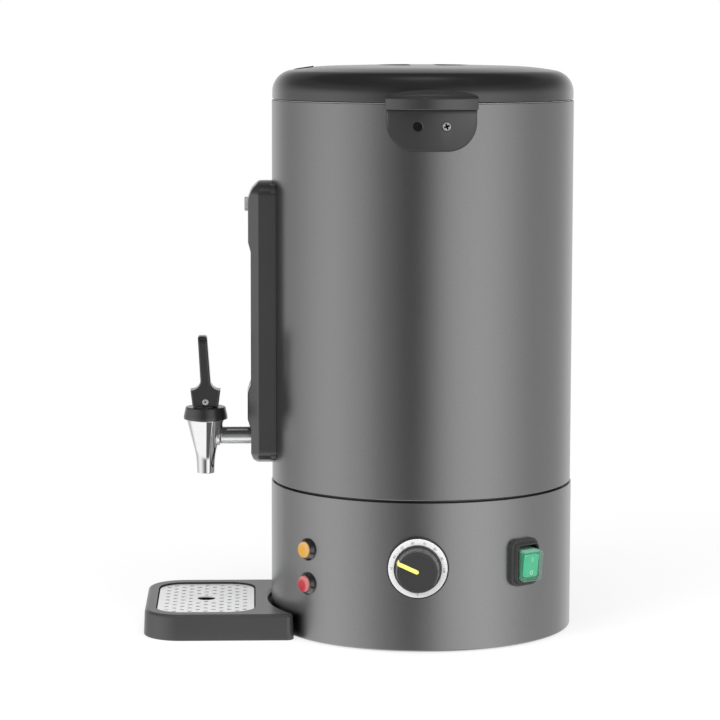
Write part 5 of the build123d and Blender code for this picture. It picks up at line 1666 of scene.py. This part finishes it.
def spring_mesh(sizes, tap_x):
    """Return spring: a round wire wound between the seat cup and the collar."""
    start = low("tap_spring", Z) + sizes.spring_wire
    rise = high("tap_spring", Z) - sizes.spring_wire - start
    steps = sizes.spring_turns * ARC_STEPS
    section = arc((sizes.spring_radius, 0), sizes.spring_wire, 0, 2 * pi, 2 * ROUND_STEPS)[:-1]
    rows = []
    for step in range(steps + 1):
        place = shifted(tap_x, 0, start + rise * step / steps) @ spun(2 * pi * step / ARC_STEPS)
        rows.append([place @ Vector((point.x, 0, point.y)) for point in section])
    return skinned(rows)


def lever_profile(sizes):
    """Half thickness of the lever against height over its pivot, from heel to tip."""
    heel, tip = sizes.heel - sizes.pivot, sizes.tip - sizes.pivot
    neck, neck_rise, edge = sizes.neck_half, sizes.neck_rise, sizes.shoulder_edge
    run = sizes.shoulder_half - neck
    climb = neck_rise - sizes.shoulder_rise
    radius = (run**2 + climb**2) / (2 * run)
    low_turn = atan2(-climb, run - radius)
    hollow = arc((neck + radius, neck_rise), radius, low_turn % (2 * pi), pi)[1:]
    corners = [(sizes.heel_half - edge, heel, 0), (sizes.heel_half, heel, edge / 2)]
    corners += [(sizes.shoulder_half, sizes.shoulder_rise, edge), (*hollow[0], 0)]
    blade = []
    for step in range(1, ARC_STEPS):
        blade_share = step / ARC_STEPS
        rise = neck_rise + (tip - sizes.tip_round - neck_rise) * blade_share
        blade.append(Vector((neck + (sizes.tip_half - neck) * blade_share, rise)))
    tip_round = sizes.tip_round
    end = arc((sizes.tip_half - tip_round, tip - tip_round), tip_round, 0, pi / 2, ROUND_STEPS)
    return rounded(corners, closed=False)[1:] + hollow[1:] + blade + end


def lever_mesh(sizes, tap_x):
    """Lever from sections up its height: fork block, hollow shoulders and leaning paddle."""
    tip = sizes.tip - sizes.pivot
    rows = []
    for half, rise in lever_profile(sizes):
        blade_share = max((rise - sizes.neck_rise) / (tip - sizes.neck_rise), 0)
        x = tap_x - sizes.tip_lean * blade_share
        width = sizes.fork_width + (sizes.paddle_width - sizes.fork_width) * blade_share
        over = max(rise - tip + sizes.paddle_corner, 0)
        width -= 2 * (sizes.paddle_corner - sqrt(sizes.paddle_corner**2 - over**2))
        outline = box_outline(2 * half, width, min(sizes.lever_edge, half * ROOM_SHARE * 2))
        rows.append([Vector((x + point.x, point.y, sizes.pivot + rise)) for point in outline])
    return skinned(rows)


def rivet_mesh(sizes):
    """Dimpled head of the lever's pin, standing on its local Z axis."""
    side, edge = sizes.fork_width / 2, sizes.pin_height / 2
    radius, dimple = sizes.pin_radius, sizes.pin_dimple
    root, top = side - 2 * edge, side + sizes.pin_height
    corners = [(0, root, 0), (radius, root, 0), (radius, top, edge), (dimple, top, edge / 2)]
    return lathe(corners + [(dimple / 3, side - edge / 2, 0), (0, side, 0)])


class DISPENSER_OT_tap(Operator):
    """Make the tap's shank, cone, collar, spring, lever and pin"""

    bl_idname = "dispenser.tap"
    bl_label = "Tap"

    def execute(self, context):
        sizes = context.scene.dispenser.tap
        tap_x = -context.scene.dispenser.body.drum_radius - sizes.reach
        axis = shifted(tap_x, 0, 0)
        add("tap_cone", cone_mesh(sizes, axis), "chrome_plate", "stand", "chrome_plate", "tap_body")
        add("tap_feed", shank_mesh(sizes, tap_x), "satin_chrome", "stand", "chrome_plate", "tap_shank")
        add("tap_bonnet", collar_mesh(sizes, axis), "black_plastic", "stand", "black_plastic", "tap_collar")
        wire = spring_mesh(sizes, tap_x)
        spring = add("return_spring", wire, "bright_steel", "stand", "bright_steel", "tap_spring")
        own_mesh(spring)
        lever = piece("lever", lever_mesh(sizes, tap_x), "black_plastic")
        slot = box_outline(sizes.fork_slot_length, sizes.fork_slot, HAIR)
        cut(lever, prism(slot, sizes.heel - OVERRUN, sizes.pivot + sizes.fork_slot_rise, axis))
        seated(lever, "lever_body", "black_plastic", "tap_lever")
        centre = shifted(tap_x, 0, sizes.pivot)
        places = [centre @ spun(turn, "X") for turn in (pi / 2, -pi / 2)]
        rivets = set_out("lever_rivets", rivet_mesh(sizes), places, "bright_steel")
        seated(rivets, "lever_body", "bright_steel", "lever_pin")
        return {"FINISHED"}


# Drip tray
def tray_outline(sizes, base_radius):
    """Plan of the tray, anticlockwise: round far corners and a heel hollowed to the base."""
    heel = base_radius + sizes.heel_gap
    corner = sizes.heel_corner
    y = sizes.half_width - corner
    x = -sqrt((heel + corner) ** 2 - y**2)
    tip = atan2(y, x)
    outline = arc((x, -y), corner, -pi / 2, pi - tip)
    outline += arc((0, 0), heel, 2 * pi - tip, tip)[1:-1]
    outline += arc((x, y), corner, tip - pi, pi / 2)
    x, y = sizes.end + sizes.corner, sizes.half_width - sizes.corner
    outline += arc((x, y), sizes.corner, pi / 2, pi)
    return outline + arc((x, -y), sizes.corner, pi, 3 * pi / 2)


def recess(sizes, tap_x, grow, height):
    """Row round the grid's recess, grown or shrunk, at a height."""
    plan = box_outline(sizes.grid_length + 2 * grow, sizes.grid_width + 2 * grow, sizes.grid_corner + grow)
    return raised([point + Vector((tap_x, 0)) for point in plan], height)


def tray_mesh(sizes, base_radius, tap_x):
    """Tray with a ledge for the grid and a basin under it."""
    outline = tray_outline(sizes, base_radius)
    head = edged(outline, sizes.edge, sizes.height, lean=tan(sizes.draft) * sizes.height)
    mesh = bmesh.new()
    shell = add_rows(mesh, edged(outline, sizes.foot_edge, 0, upwards=1)[::-1] + head)
    mesh.faces.new(shell[0][::-1])
    gap, ledge = sizes.grid_gap, sizes.grid_ledge
    edge = edge_steps(sizes.mouth_edge)[::-1]
    rows = [recess(sizes, tap_x, gap + inward, sizes.height - drop) for inward, drop in edge]
    rows.append(recess(sizes, tap_x, gap, sizes.grid_low))
    rows += [recess(sizes, tap_x, inward - ledge, sizes.grid_low - drop) for inward, drop in edge]
    floor = edge_steps(sizes.floor_round)
    rows += [recess(sizes, tap_x, -ledge - inward, sizes.floor + drop) for inward, drop in floor]
    basin = add_rows(mesh, rows)
    mesh.faces.new(basin[-1])
    fill(mesh, shell[-1], basin[0])
    return mesh


def lug_meshes(sizes, body):
    """Lugs that locate the tray in the base's slots."""
    heel = body.base_radius + sizes.heel_gap
    start = -sqrt(heel**2 - body.slot_spread**2) - sizes.lug_root
    length = sizes.heel_gap + body.base_wall + sizes.lug_reach
    tongue = box_outline(length, sizes.lug_width, sizes.lug_corner)
    top, edge = sizes.lug_lift + sizes.lug_height, sizes.lug_edge
    places = [shifted(start + length / 2, side, 0) for side in (-body.slot_spread, body.slot_spread)]
    return [moved(block(tongue, sizes.lug_lift, top, edge, edge), place) for place in places]


def plate_mesh(sizes, tap_x):
    """Grid before it is drilled: a sheet with a rounded border and a hole in the middle."""
    foot, top = sizes.grid_low, sizes.grid_high
    hole = arc((tap_x, 0), sizes.centre_radius, 0, 2 * pi, FINE_STEPS)[:-1]
    outline = [point.xy for point in recess(sizes, tap_x, 0, 0)]
    mesh = bmesh.new()
    border = add_rows(mesh, block_rows(outline, foot, top, sizes.grid_edge, sizes.grid_edge))
    rim = add_rows(mesh, [raised(hole, foot), raised(hole, top)])
    fill(mesh, border[0], rim[0])
    fill(mesh, border[-1], rim[-1])
    return mesh


class DISPENSER_OT_tray(Operator):
    """Make the drip tray and its perforated grid"""

    bl_idname = "dispenser.tray"
    bl_label = "Drip tray and grid"

    def execute(self, context):
        settings = context.scene.dispenser
        sizes, body = settings.tray, settings.body
        tap_x = -body.drum_radius - settings.tap.reach
        whole = joined(tray_mesh(sizes, body.base_radius, tap_x), *lug_meshes(sizes, body))
        made = piece("tray", whole, "tray_plastic")
        marked(made, lambda point: self.shade(sizes, tap_x, point), -sizes.end)
        seated(made, "tray_body", "dark_plastic", "drip_tray")
        sheet = piece("grid", plate_mesh(sizes, tap_x), "grid_steel")
        tree = bpy.data.node_groups.get("Staggered perforation") or perforation_tree()
        values = {
            "Column pitch": sizes.column_pitch,
            "Row pitch": sizes.row_pitch,
            "Hole radius": sizes.hole_radius,
            "Drill length": OVERRUN,
            "Half length": sizes.grid_length / 2,
            "Half width": sizes.grid_width / 2,
            "Corner": sizes.grid_corner,
            "Margin": sizes.hole_radius + sizes.hole_margin,
            "Centre radius": sizes.centre_radius,
            "Short columns": (sizes.columns + 1) // 2,
            "Long columns": sizes.columns // 2,
            "Rows": sizes.rows,
            "Centre": (tap_x, 0, sizes.grid_low),
            "Finish": finishes["grid_steel"],
        }
        feed(sheet, tree, values)
        seated(sheet, "grid_body", "bright_steel", "drip_grid")
        return {"FINISHED"}

    def shade(self, sizes, tap_x, point):
        """Painted shade inside the grid's recess."""
        margin = sizes.grid_gap + HAIR
        half_length, half_width = sizes.grid_length / 2 + margin, sizes.grid_width / 2 + margin
        if abs(point.x - tap_x) >= half_length or abs(point.y) >= half_width:
            return 0
        return (sizes.height - sizes.mouth_edge / 2 - point.z) / sizes.mouth_edge


# Controls
def knob_mesh(sizes, foot, edge, place):
    """Knob with a skirt and a dished face."""
    top, skirt_top = foot + sizes.knob_height, foot + sizes.knob_skirt
    skirt, face, dish = sizes.knob_skirt_radius, sizes.knob_face_radius, sizes.knob_dish
    inner = face - sizes.knob_rim
    corners = [(0, foot, 0), (skirt, foot, edge), (skirt, skirt_top, edge)]
    corners += [(sizes.knob_foot_radius, skirt_top + edge, edge), (face, top, sizes.knob_edge)]
    corners += [(inner, top, sizes.knob_edge / 3), (inner - dish, top - dish, dish / 2), (0, top - dish, 0)]
    return lathe(corners, place, steps=TURN_STEPS)


def pointer_mesh(sizes, top, place):
    """Pointer across the knob's face and down its side."""
    turn = place @ spun(sizes.pointer_angle)
    width, rise, edge = sizes.pointer_width, sizes.pointer_rise, sizes.pointer_edge
    half = width / 2
    reach, drop = sizes.knob_face_radius + half, sizes.pointer_drop + half
    bar = block(stadium(reach, width), top - width, top + rise, HAIR, edge)
    side = block(stadium(drop, width), -half, rise, HAIR, edge)
    lean = atan2(sizes.knob_foot_radius - sizes.knob_face_radius, sizes.knob_height)
    over = turn @ shifted(sizes.knob_face_radius, 0, top + rise) @ spun(pi / 2 - lean, "Y")
    bar_place = turn @ shifted(reach / 2 - half + rise, 0, 0)
    return joined(moved(bar, bar_place), moved(side, over @ shifted(drop / 2, 0, 0)))


class DISPENSER_OT_dial(Operator):
    """Make the dial's scale, figures, knob and pointer"""

    bl_idname = "dispenser.dial"
    bl_label = "Dial"

    def execute(self, context):
        sizes = context.scene.dispenser.control
        body = context.scene.dispenser.body
        place = panel(sizes.dial_azimuth, sizes.dial_height)
        face = body.base_radius + sizes.scale_stand
        back, edge = face - sizes.scale_thickness, sizes.scale_thickness / 3
        root, radius = body.base_radius - body.base_wall, sizes.scale_base_radius
        corners = [(0, root, 0), (radius, root, 0), (radius, back, edge), (0, back, 0)]
        backing = lathe(corners, place, steps=TURN_STEPS)
        add("dial_backing", backing, "black_plastic", "stand", "black_plastic", "scale_base")
        inner, radius = sizes.knob_foot_radius - sizes.knob_rim, sizes.scale_radius
        corners = [(inner, back, 0), (radius, back, 0), (radius, face, edge), (inner, face, edge)]
        ring = lathe(corners, place, closed=True, steps=TURN_STEPS)
        add("dial_scale", ring, "scale_metal", "stand", "scale_metal", "scale_plate")
        self.figures(sizes, place @ shifted(0, 0, face))
        foot = face + sizes.knob_lift
        knob = knob_mesh(sizes, foot, edge, place)
        add("knob", knob, "knob_plastic", "dial_body", "black_plastic", "dial_knob")
        pointer = pointer_mesh(sizes, foot + sizes.knob_height, place)
        add("pointer", pointer, "pointer_yellow", "dial_body", "pointer_yellow", "dial_pointer")
        return {"FINISHED"}

    def figures(self, sizes, place):
        """Printed figures and ticks on the scale."""
        step = (sizes.figure_end - sizes.figure_start) / (sizes.figures - 1)
        turns = [sizes.figure_start + index * step for index in range(sizes.figures)]
        first, gap = sizes.figure_first, sizes.figure_step
        signs = [(str(first + index * gap), turn) for index, turn in enumerate(turns)]
        words = []
        for word, turn in signs + [("0", 3 * pi / 2)]:
            there = place @ spun(turn - pi / 2) @ shifted(0, sizes.figure_radius, 0)
            words.append(moved(lettering(word, sizes.figure_height, sizes.ink_rise), there))
        add("scale_figures", joined(*words), "scale_ink", "stand", "black_plastic")
        line = box_outline(sizes.tick_width, sizes.tick_length, HAIR)
        tick = block(line, 0, sizes.ink_rise, sizes.tick_edge, sizes.tick_edge)
        reach = shifted(0, sizes.knob_foot_radius + sizes.tick_length, 0)
        halves = [turn + step * half / 2 for turn in turns[:-1] for half in range(2)]
        places = [place @ spun(turn - pi / 2) @ reach for turn in halves]
        seated(set_out("scale_ticks", tick, places, "scale_ink"), "stand", "black_plastic")


def bezel_mesh(sizes, root, stand, face):
    """Sloping bezel round a lamp's lens."""
    edge, foot, inner = sizes.bezel_edge, sizes.bezel_radius, sizes.lens_radius + HAIR
    seat = face - sizes.bezel_rim
    corners = [(0, root, 0), (foot, root, 0), (foot, stand + sizes.bezel_rim, edge)]
    corners += [(sizes.bezel_face_radius, face, edge), (inner, face, edge / 3)]
    return lathe(corners + [(inner, seat, 0), (0, seat, 0)])


def lens_mesh(sizes, face):
    """Lens with rings moulded inside it, noting how far out and up its points lie for its painted highlight.
    """
    radius, edge, top = sizes.lens_radius, sizes.bezel_edge, face + sizes.lens_rise
    foot = face - sizes.bezel_rim + HAIR
    pitch = radius / (sizes.lens_rings + 1)
    corners = [(0, foot, 0)]
    for ring in range(sizes.lens_rings):
        corners += [(pitch * (ring + 1 / 2), foot + edge, edge / 4), (pitch * (ring + 1), foot, edge / 4)]
    mesh = lathe(corners + [(radius, foot, 0), (radius, top, sizes.lens_round), (0, top, 0)])
    # Mask of the painted highlight: grows towards the rim and the upper side
    reach = mesh.verts.layers.float.new("reach")
    for vertex in mesh.verts:
        lift = vertex.co.y + vertex.co.x
        vertex[reach] = (hypot(vertex.co.x, vertex.co.y) + lift / 3) / radius
    return mesh


class DISPENSER_OT_lamps(Operator):
    """Make the pilot lamps' bezels and lenses"""

    bl_idname = "dispenser.lamps"
    bl_label = "Pilot lamps"

    def execute(self, context):
        sizes = context.scene.dispenser.control
        body = context.scene.dispenser.body
        radius = body.base_radius
        face = radius + sizes.bezel_stand
        places = [panel(sizes.lamp_azimuth, height) for height in (sizes.amber_height, sizes.red_height)]
        bezel = bezel_mesh(sizes, radius - body.base_wall, radius, face)
        rings = set_out("lamp_rings", bezel, places, "bezel_plastic")
        seated(rings, "stand", "black_plastic", "lamp_bezels")
        for place, colour in zip(places, ("amber", "red")):
            lens = moved(lens_mesh(sizes, face), place)
            slot = colour + "_plastic"
            add(colour + "_window", lens, slot, "stand", slot, colour + "_lens")
        return {"FINISHED"}


def surround_mesh(sizes, radius, wall):
    """Switch's flange with a raised step round its opening."""
    face, lip = radius + sizes.flange_stand, sizes.flange_edge / 2
    border = box_outline(sizes.flange_width, sizes.flange_height, sizes.flange_corner)
    mouth = box_outline(sizes.opening_width, sizes.opening_height, sizes.opening_corner)
    step = inset(mouth, -sizes.frame_step)
    crest = face + 2 * sizes.frame_step
    rows = [raised(border, radius - 2 * wall)] + edged(border, sizes.flange_edge, face)
    rows += edged(step, lip, face - lip, inwards=-1, upwards=1) + edged(step, lip, crest)
    rows += edged(mouth, lip, crest, inwards=-1)[::-1]
    return skinned(rows + [raised(mouth, radius + HAIR)])


def boot_mesh(sizes, foot, top):
    """Green boot: a thin cap, open below."""
    outside = box_outline(sizes.boot_width, sizes.boot_height, sizes.boot_corner)
    inside = inset(outside, sizes.boot_wall)
    mesh = bmesh.new()
    outer = add_rows(mesh, [raised(outside, foot)] + edged(outside, sizes.boot_edge, top))
    cavity = edged(inside, sizes.boot_edge / 2, top - sizes.boot_wall)
    inner = add_rows(mesh, [raised(inside, foot)] + cavity)
    mesh.faces.new(outer[-1])
    mesh.faces.new(inner[-1][::-1])
    for index in range(len(outside)):
        mesh.faces.new((outer[0][index - 1], outer[0][index], inner[0][index], inner[0][index - 1]))
    return mesh


def marks_mesh(sizes, height):
    """On and off marks of the switch."""
    line = box_outline(sizes.mark_width, sizes.mark_height, sizes.mark_corner)
    bar = block(line, 0, HAIR, sizes.mark_edge, sizes.mark_edge)
    half = sizes.mark_height / 2
    inner = half - sizes.mark_width
    corners = [(inner, 0, 0), (half, 0, 0), (half, HAIR, 0), (inner, HAIR, 0)]
    ring = lathe(corners, shifted(0, -sizes.mark_spread, height), closed=True, steps=TURN_STEPS)
    return joined(moved(bar, shifted(0, sizes.mark_spread, height)), ring)


class DISPENSER_OT_switch(Operator):
    """Make the rocker switch's frame, boot, key and marks"""

    bl_idname = "dispenser.switch"
    bl_label = "Rocker switch"

    def execute(self, context):
        sizes = context.scene.dispenser.control
        body = context.scene.dispenser.body
        radius, wall = body.base_radius, body.base_wall
        place = panel(sizes.switch_azimuth, sizes.switch_height)
        surround = moved(surround_mesh(sizes, radius, wall), place)
        add("switch_surround", surround, "knob_plastic", "stand", "black_plastic", "switch_frame")
        pivot = radius - sizes.rocker_pivot
        pose = place @ shifted(0, 0, pivot) @ spun(sizes.rocker_tilt, "X")
        top, foot = radius + sizes.boot_stand - pivot, radius - wall - pivot
        boot = moved(boot_mesh(sizes, foot, top), pose)
        add("boot", boot, "green_plastic", "rocker_body", "green_plastic", "switch_boot")
        inward, gap = sizes.boot_wall + sizes.rocker_gap, sizes.rocker_gap
        core_top, key_top = top - 3 * inward, top - inward
        width, height = sizes.boot_width - 2 * inward, sizes.boot_height - 2 * inward
        outline = box_outline(width, height, sizes.boot_corner - inward)
        core = block(outline, foot - wall, core_top, HAIR, gap)
        add("rocker", moved(core, pose), "core_plastic", "rocker_body", "green_plastic", "switch_rocker")
        outline = box_outline(sizes.key_width, sizes.key_height, sizes.key_corner)
        key = block(outline, core_top - wall, key_top, HAIR, 2 * gap)
        add("rocker_key", moved(key, pose), "key_plastic", "rocker_body", "green_plastic")
        marks = moved(marks_mesh(sizes, key_top), pose)
        add("switch_marks", marks, "white_ink", "rocker_body", "green_plastic")
        return {"FINISHED"}


# Stage: light on the studio wall, as azimuth in degrees from the camera's side towards +X, and level
wall_rows = (
    (-180.0, 1.0), (-152.0, 0.85), (-128.0, 0.50), (-72.0, 0.95), (-50.0, 0.74), (-30.0, 0.34),
    (-10.0, 0.08), (22.0, 0.97), (38.0, 1.06), (92.0, 0.54), (118.0, 0.58), (152.0, 0.95), (180.0, 1.0),
)
# The same below the horizon, where the pale floor shows
floor_rows = ((-180.0, 1.0), (1.5, 1.0), (4.0, 0.1), (38.0, 0.1), (46.0, 1.0), (180.0, 1.0))
# Soft lamps: name, place, width in metres and power in watts
lamp_rows = (
    ("left_lamp", (-1.6, -1.7, 1.5), 1.4, 38.0),
    ("right_lamp", (1.9, -1.3, 1.2), 1.2, 17.0),
    ("top_lamp", (0.1, -0.7, 2.3), 1.8, 36.0),
)


def emptied(made):
    """Empty node tree of a material or world."""
    made.use_nodes = True
    made.node_tree.nodes.clear()
    return made.node_tree


def staged(name, material_name, mesh, unseen, surface):
    """Stage piece with a material, hidden from some kinds of rays; surface fills its node tree."""
    data = bpy.data.meshes.new(name)
    mesh.to_mesh(data)
    mesh.free()
    material = bpy.data.materials.new(material_name)
    tree = emptied(material)
    place = node(tree, "ShaderNodeTexCoord")["Object"]
    node(tree, "ShaderNodeOutputMaterial", {"Surface": surface(tree, place)})
    data.materials.append(material)
    made = bpy.data.objects.new(name, data)
    for kind in unseen:
        setattr(made, "visible_" + kind, False)
    bpy.context.scene.collection.objects.link(made)


def disc(radius, height):
    """Flat disc about the Z axis."""
    mesh = bmesh.new()
    bmesh.ops.create_circle(mesh, cap_ends=True, segments=TURN_STEPS, radius=radius)
    bmesh.ops.translate(mesh, verts=mesh.verts, vec=(0, 0, height))
    return mesh


def ramp(tree, turn, rows):
    """Light level by azimuth, from rows of azimuth and level."""
    made = tree.nodes.new("ShaderNodeValToRGB")
    made.color_ramp.interpolation = "EASE"
    stops = made.color_ramp.elements
    while len(stops) < len(rows):
        stops.new(1)
    for stop, (middle, level) in zip(stops, rows):
        stop.position = radians(middle) / (2 * pi) + 1 / 2
        stop.color = (level, level, level, 1)
    connect(tree, made, {"Fac": turn})
    return made.outputs["Color"]


class DISPENSER_OT_stage(Operator):
    """Set the camera, the pale floor and the studio light"""

    bl_idname = "dispenser.stage"
    bl_label = "Stage"

    def execute(self, context):
        settings = self.settings = context.scene.dispenser.stage
        context.scene.view_settings.view_transform = "Standard"
        self.camera(context.scene, settings)
        self.surround(context.scene, settings)
        floor = disc(settings.floor_radius, -HAIR)
        staged("floor", "pale_floor", floor, ("glossy",), self.pale_floor)
        self.lamps(context.scene)
        reflected = ("camera", "diffuse", "shadow")
        heights = (-settings.wall_height, settings.wall_height)
        radius = settings.wall_radius
        wall = bmesh.new()
        add_rows(wall, [[circled(radius, turn, z) for turn in circle_turns()] for z in heights])
        staged("studio_wall", "studio_wall", wall, reflected, self.soft_boxes)
        ceiling = disc(radius, settings.wall_height)
        staged("studio_ceiling", "studio_ceiling", ceiling, reflected, self.overhead)
        return {"FINISHED"}

    def camera(self, scene, settings):
        """Camera at the photograph's viewing angle."""
        data = bpy.data.cameras.new("camera")
        data.sensor_width = settings.sensor
        data.lens = settings.lens
        data.clip_end = settings.camera_range
        made = bpy.data.objects.new("camera", data)
        scene.collection.objects.link(made)
        yaw, pitch = settings.camera_yaw, settings.camera_pitch
        forward = Vector((sin(yaw) * cos(pitch), cos(yaw) * cos(pitch), -sin(pitch)))
        right = Vector((cos(yaw), -sin(yaw), 0))
        level = Matrix((right, right.cross(forward), -forward)).transposed().to_4x4()
        made.matrix_world = shifted(*settings.camera_place) @ level @ spun(settings.camera_roll)
        scene.camera = made

    def surround(self, scene, settings):
        """World: soft surround light, white to the camera, in reflections and through glass."""
        scene.world = bpy.data.worlds.new("surround")
        tree = emptied(scene.world)
        soft = node(tree, "ShaderNodeBackground", {"Strength": settings.ambient, "Color": WHITE})
        white = node(tree, "ShaderNodeBackground", {"Color": WHITE})
        path = node(tree, "ShaderNodeLightPath")
        seen = sum_of(tree, "MAXIMUM", path["Is Camera Ray"], path["Is Glossy Ray"])
        seen = sum_of(tree, "MAXIMUM", seen, path["Is Transmission Ray"])
        mixed = node(tree, "ShaderNodeMixShader", {0: seen, 1: soft["Background"], 2: white["Background"]})
        node(tree, "ShaderNodeOutputWorld", {"Surface": mixed["Shader"]})

    def lamps(self, scene):
        """Soft area lamps that reflections don't show."""
        aim = Vector((0, 0, cad_box[1][Z] / 2))
        for name, place, width, power in lamp_rows:
            data = bpy.data.lights.new(name, "AREA")
            data.shape = "DISK"
            data.size = width
            data.energy = power
            made = bpy.data.objects.new(name, data)
            made.location = place
            made.rotation_euler = (aim - made.location).to_track_quat("-Z", "Y").to_euler()
            made.visible_camera = False
            made.visible_glossy = False
            scene.collection.objects.link(made)

    def pale_floor(self, tree, place):
        """Pale floor that keeps the shadow near the object and fades into the backdrop."""
        clear = self.settings.floor_clear
        matt = node(tree, "ShaderNodeBsdfDiffuse", {"Color": (*self.settings.floor_colour, 1)})
        light = node(tree, "ShaderNodeEmission")
        distance = node(tree, "ShaderNodeVectorMath", {0: place}, operation="LENGTH")["Value"]
        start = clear * self.settings.floor_fade_share
        limits = {"From Min": start, "From Max": clear, "To Min": self.settings.floor_glow_share}
        entries = {0: smooth(tree, distance, limits), 1: matt["BSDF"], 2: light["Emission"]}
        return node(tree, "ShaderNodeMixShader", entries)["Shader"]

    def soft_boxes(self, tree, place):
        """Wall light by azimuth, falling off upwards: soft boxes with dark gaps between them."""
        height = self.settings.wall_height
        axes = node(tree, "ShaderNodeSeparateXYZ", {"Vector": place})
        azimuth = sum_of(tree, "ARCTAN2", axes["X"], sum_of(tree, "MULTIPLY", axes["Y"], -1))
        limits = {"Value": azimuth, "From Min": -pi, "From Max": pi}
        turn = node(tree, "ShaderNodeMapRange", limits)["Result"]
        start, end = [height * horizon_share for horizon_share in self.settings.horizon_shares]
        depth = smooth(tree, axes["Z"], {"From Min": start, "From Max": end})
        both = blend(tree, depth, ramp(tree, turn, wall_rows), ramp(tree, turn, floor_rows), "RGBA")
        start, end = [height * fade_share for fade_share in self.settings.wall_fade_shares]
        limits = {"From Min": start, "From Max": end}
        limits |= {"To Min": 1, "To Max": 1 - self.settings.wall_fall_share}
        entries = {"Color": both, "Strength": smooth(tree, axes["Z"], limits)}
        return node(tree, "ShaderNodeEmission", entries)["Emission"]

    def overhead(self, tree, place):
        """Dark ceiling with one soft box right above."""
        radius = self.settings.overhead_radius
        flat = node(tree, "ShaderNodeVectorMath", {0: place, 1: (1, 1, 0)}, operation="MULTIPLY")["Vector"]
        away = node(tree, "ShaderNodeVectorMath", {0: flat}, operation="LENGTH")["Value"]
        limits = {"From Min": radius, "From Max": radius * 2}
        limits |= {"To Min": self.settings.overhead_level, "To Max": self.settings.ceiling_level}
        entries = {"Color": WHITE, "Strength": smooth(tree, away, limits)}
        return node(tree, "ShaderNodeEmission", entries)["Emission"]


# Panel
steps = (
    DISPENSER_OT_finishes,
    DISPENSER_OT_carried,
    DISPENSER_OT_stage,
    DISPENSER_OT_body,
    DISPENSER_OT_feet,
    DISPENSER_OT_lid,
    DISPENSER_OT_handles,
    DISPENSER_OT_gauge,
    DISPENSER_OT_tap,
    DISPENSER_OT_tray,
    DISPENSER_OT_dial,
    DISPENSER_OT_lamps,
    DISPENSER_OT_switch,
)


class DISPENSER_PT_panel(Panel):
    """Sidebar panel that lists the pieces and their sizes"""

    bl_idname = "DISPENSER_PT_panel"
    bl_label = "Hot Drink Dispenser"
    bl_space_type = "VIEW_3D"
    bl_region_type = "UI"
    bl_category = "Dispenser"

    def draw(self, context):
        for step in steps:
            self.layout.operator(step.bl_idname)
        settings = context.scene.dispenser
        for group in DispenserSettings.__annotations__:
            held = getattr(settings, group)
            box = self.layout.box()
            box.label(text=group)
            for name in held.__annotations__:
                box.prop(held, name)


groups = (BodySizes, LidSizes, HandleSizes, GaugeSizes, TapSizes, TraySizes, ControlSizes)
groups += (Finishes, StageSettings, DispenserSettings)
classes = groups + steps + (DISPENSER_PT_panel,)


def register():
    for made in classes:
        bpy.utils.register_class(made)
    bpy.types.Scene.dispenser = PointerProperty(type=DispenserSettings)


def unregister():
    del bpy.types.Scene.dispenser
    for made in reversed(classes):
        bpy.utils.unregister_class(made)


def main():
    """Registers the add-on and builds every piece in order."""
    register()
    for step in steps:
        group, name = step.bl_idname.split(".")
        getattr(getattr(bpy.ops, group), name)()


if __name__ == "__main__":
    main()
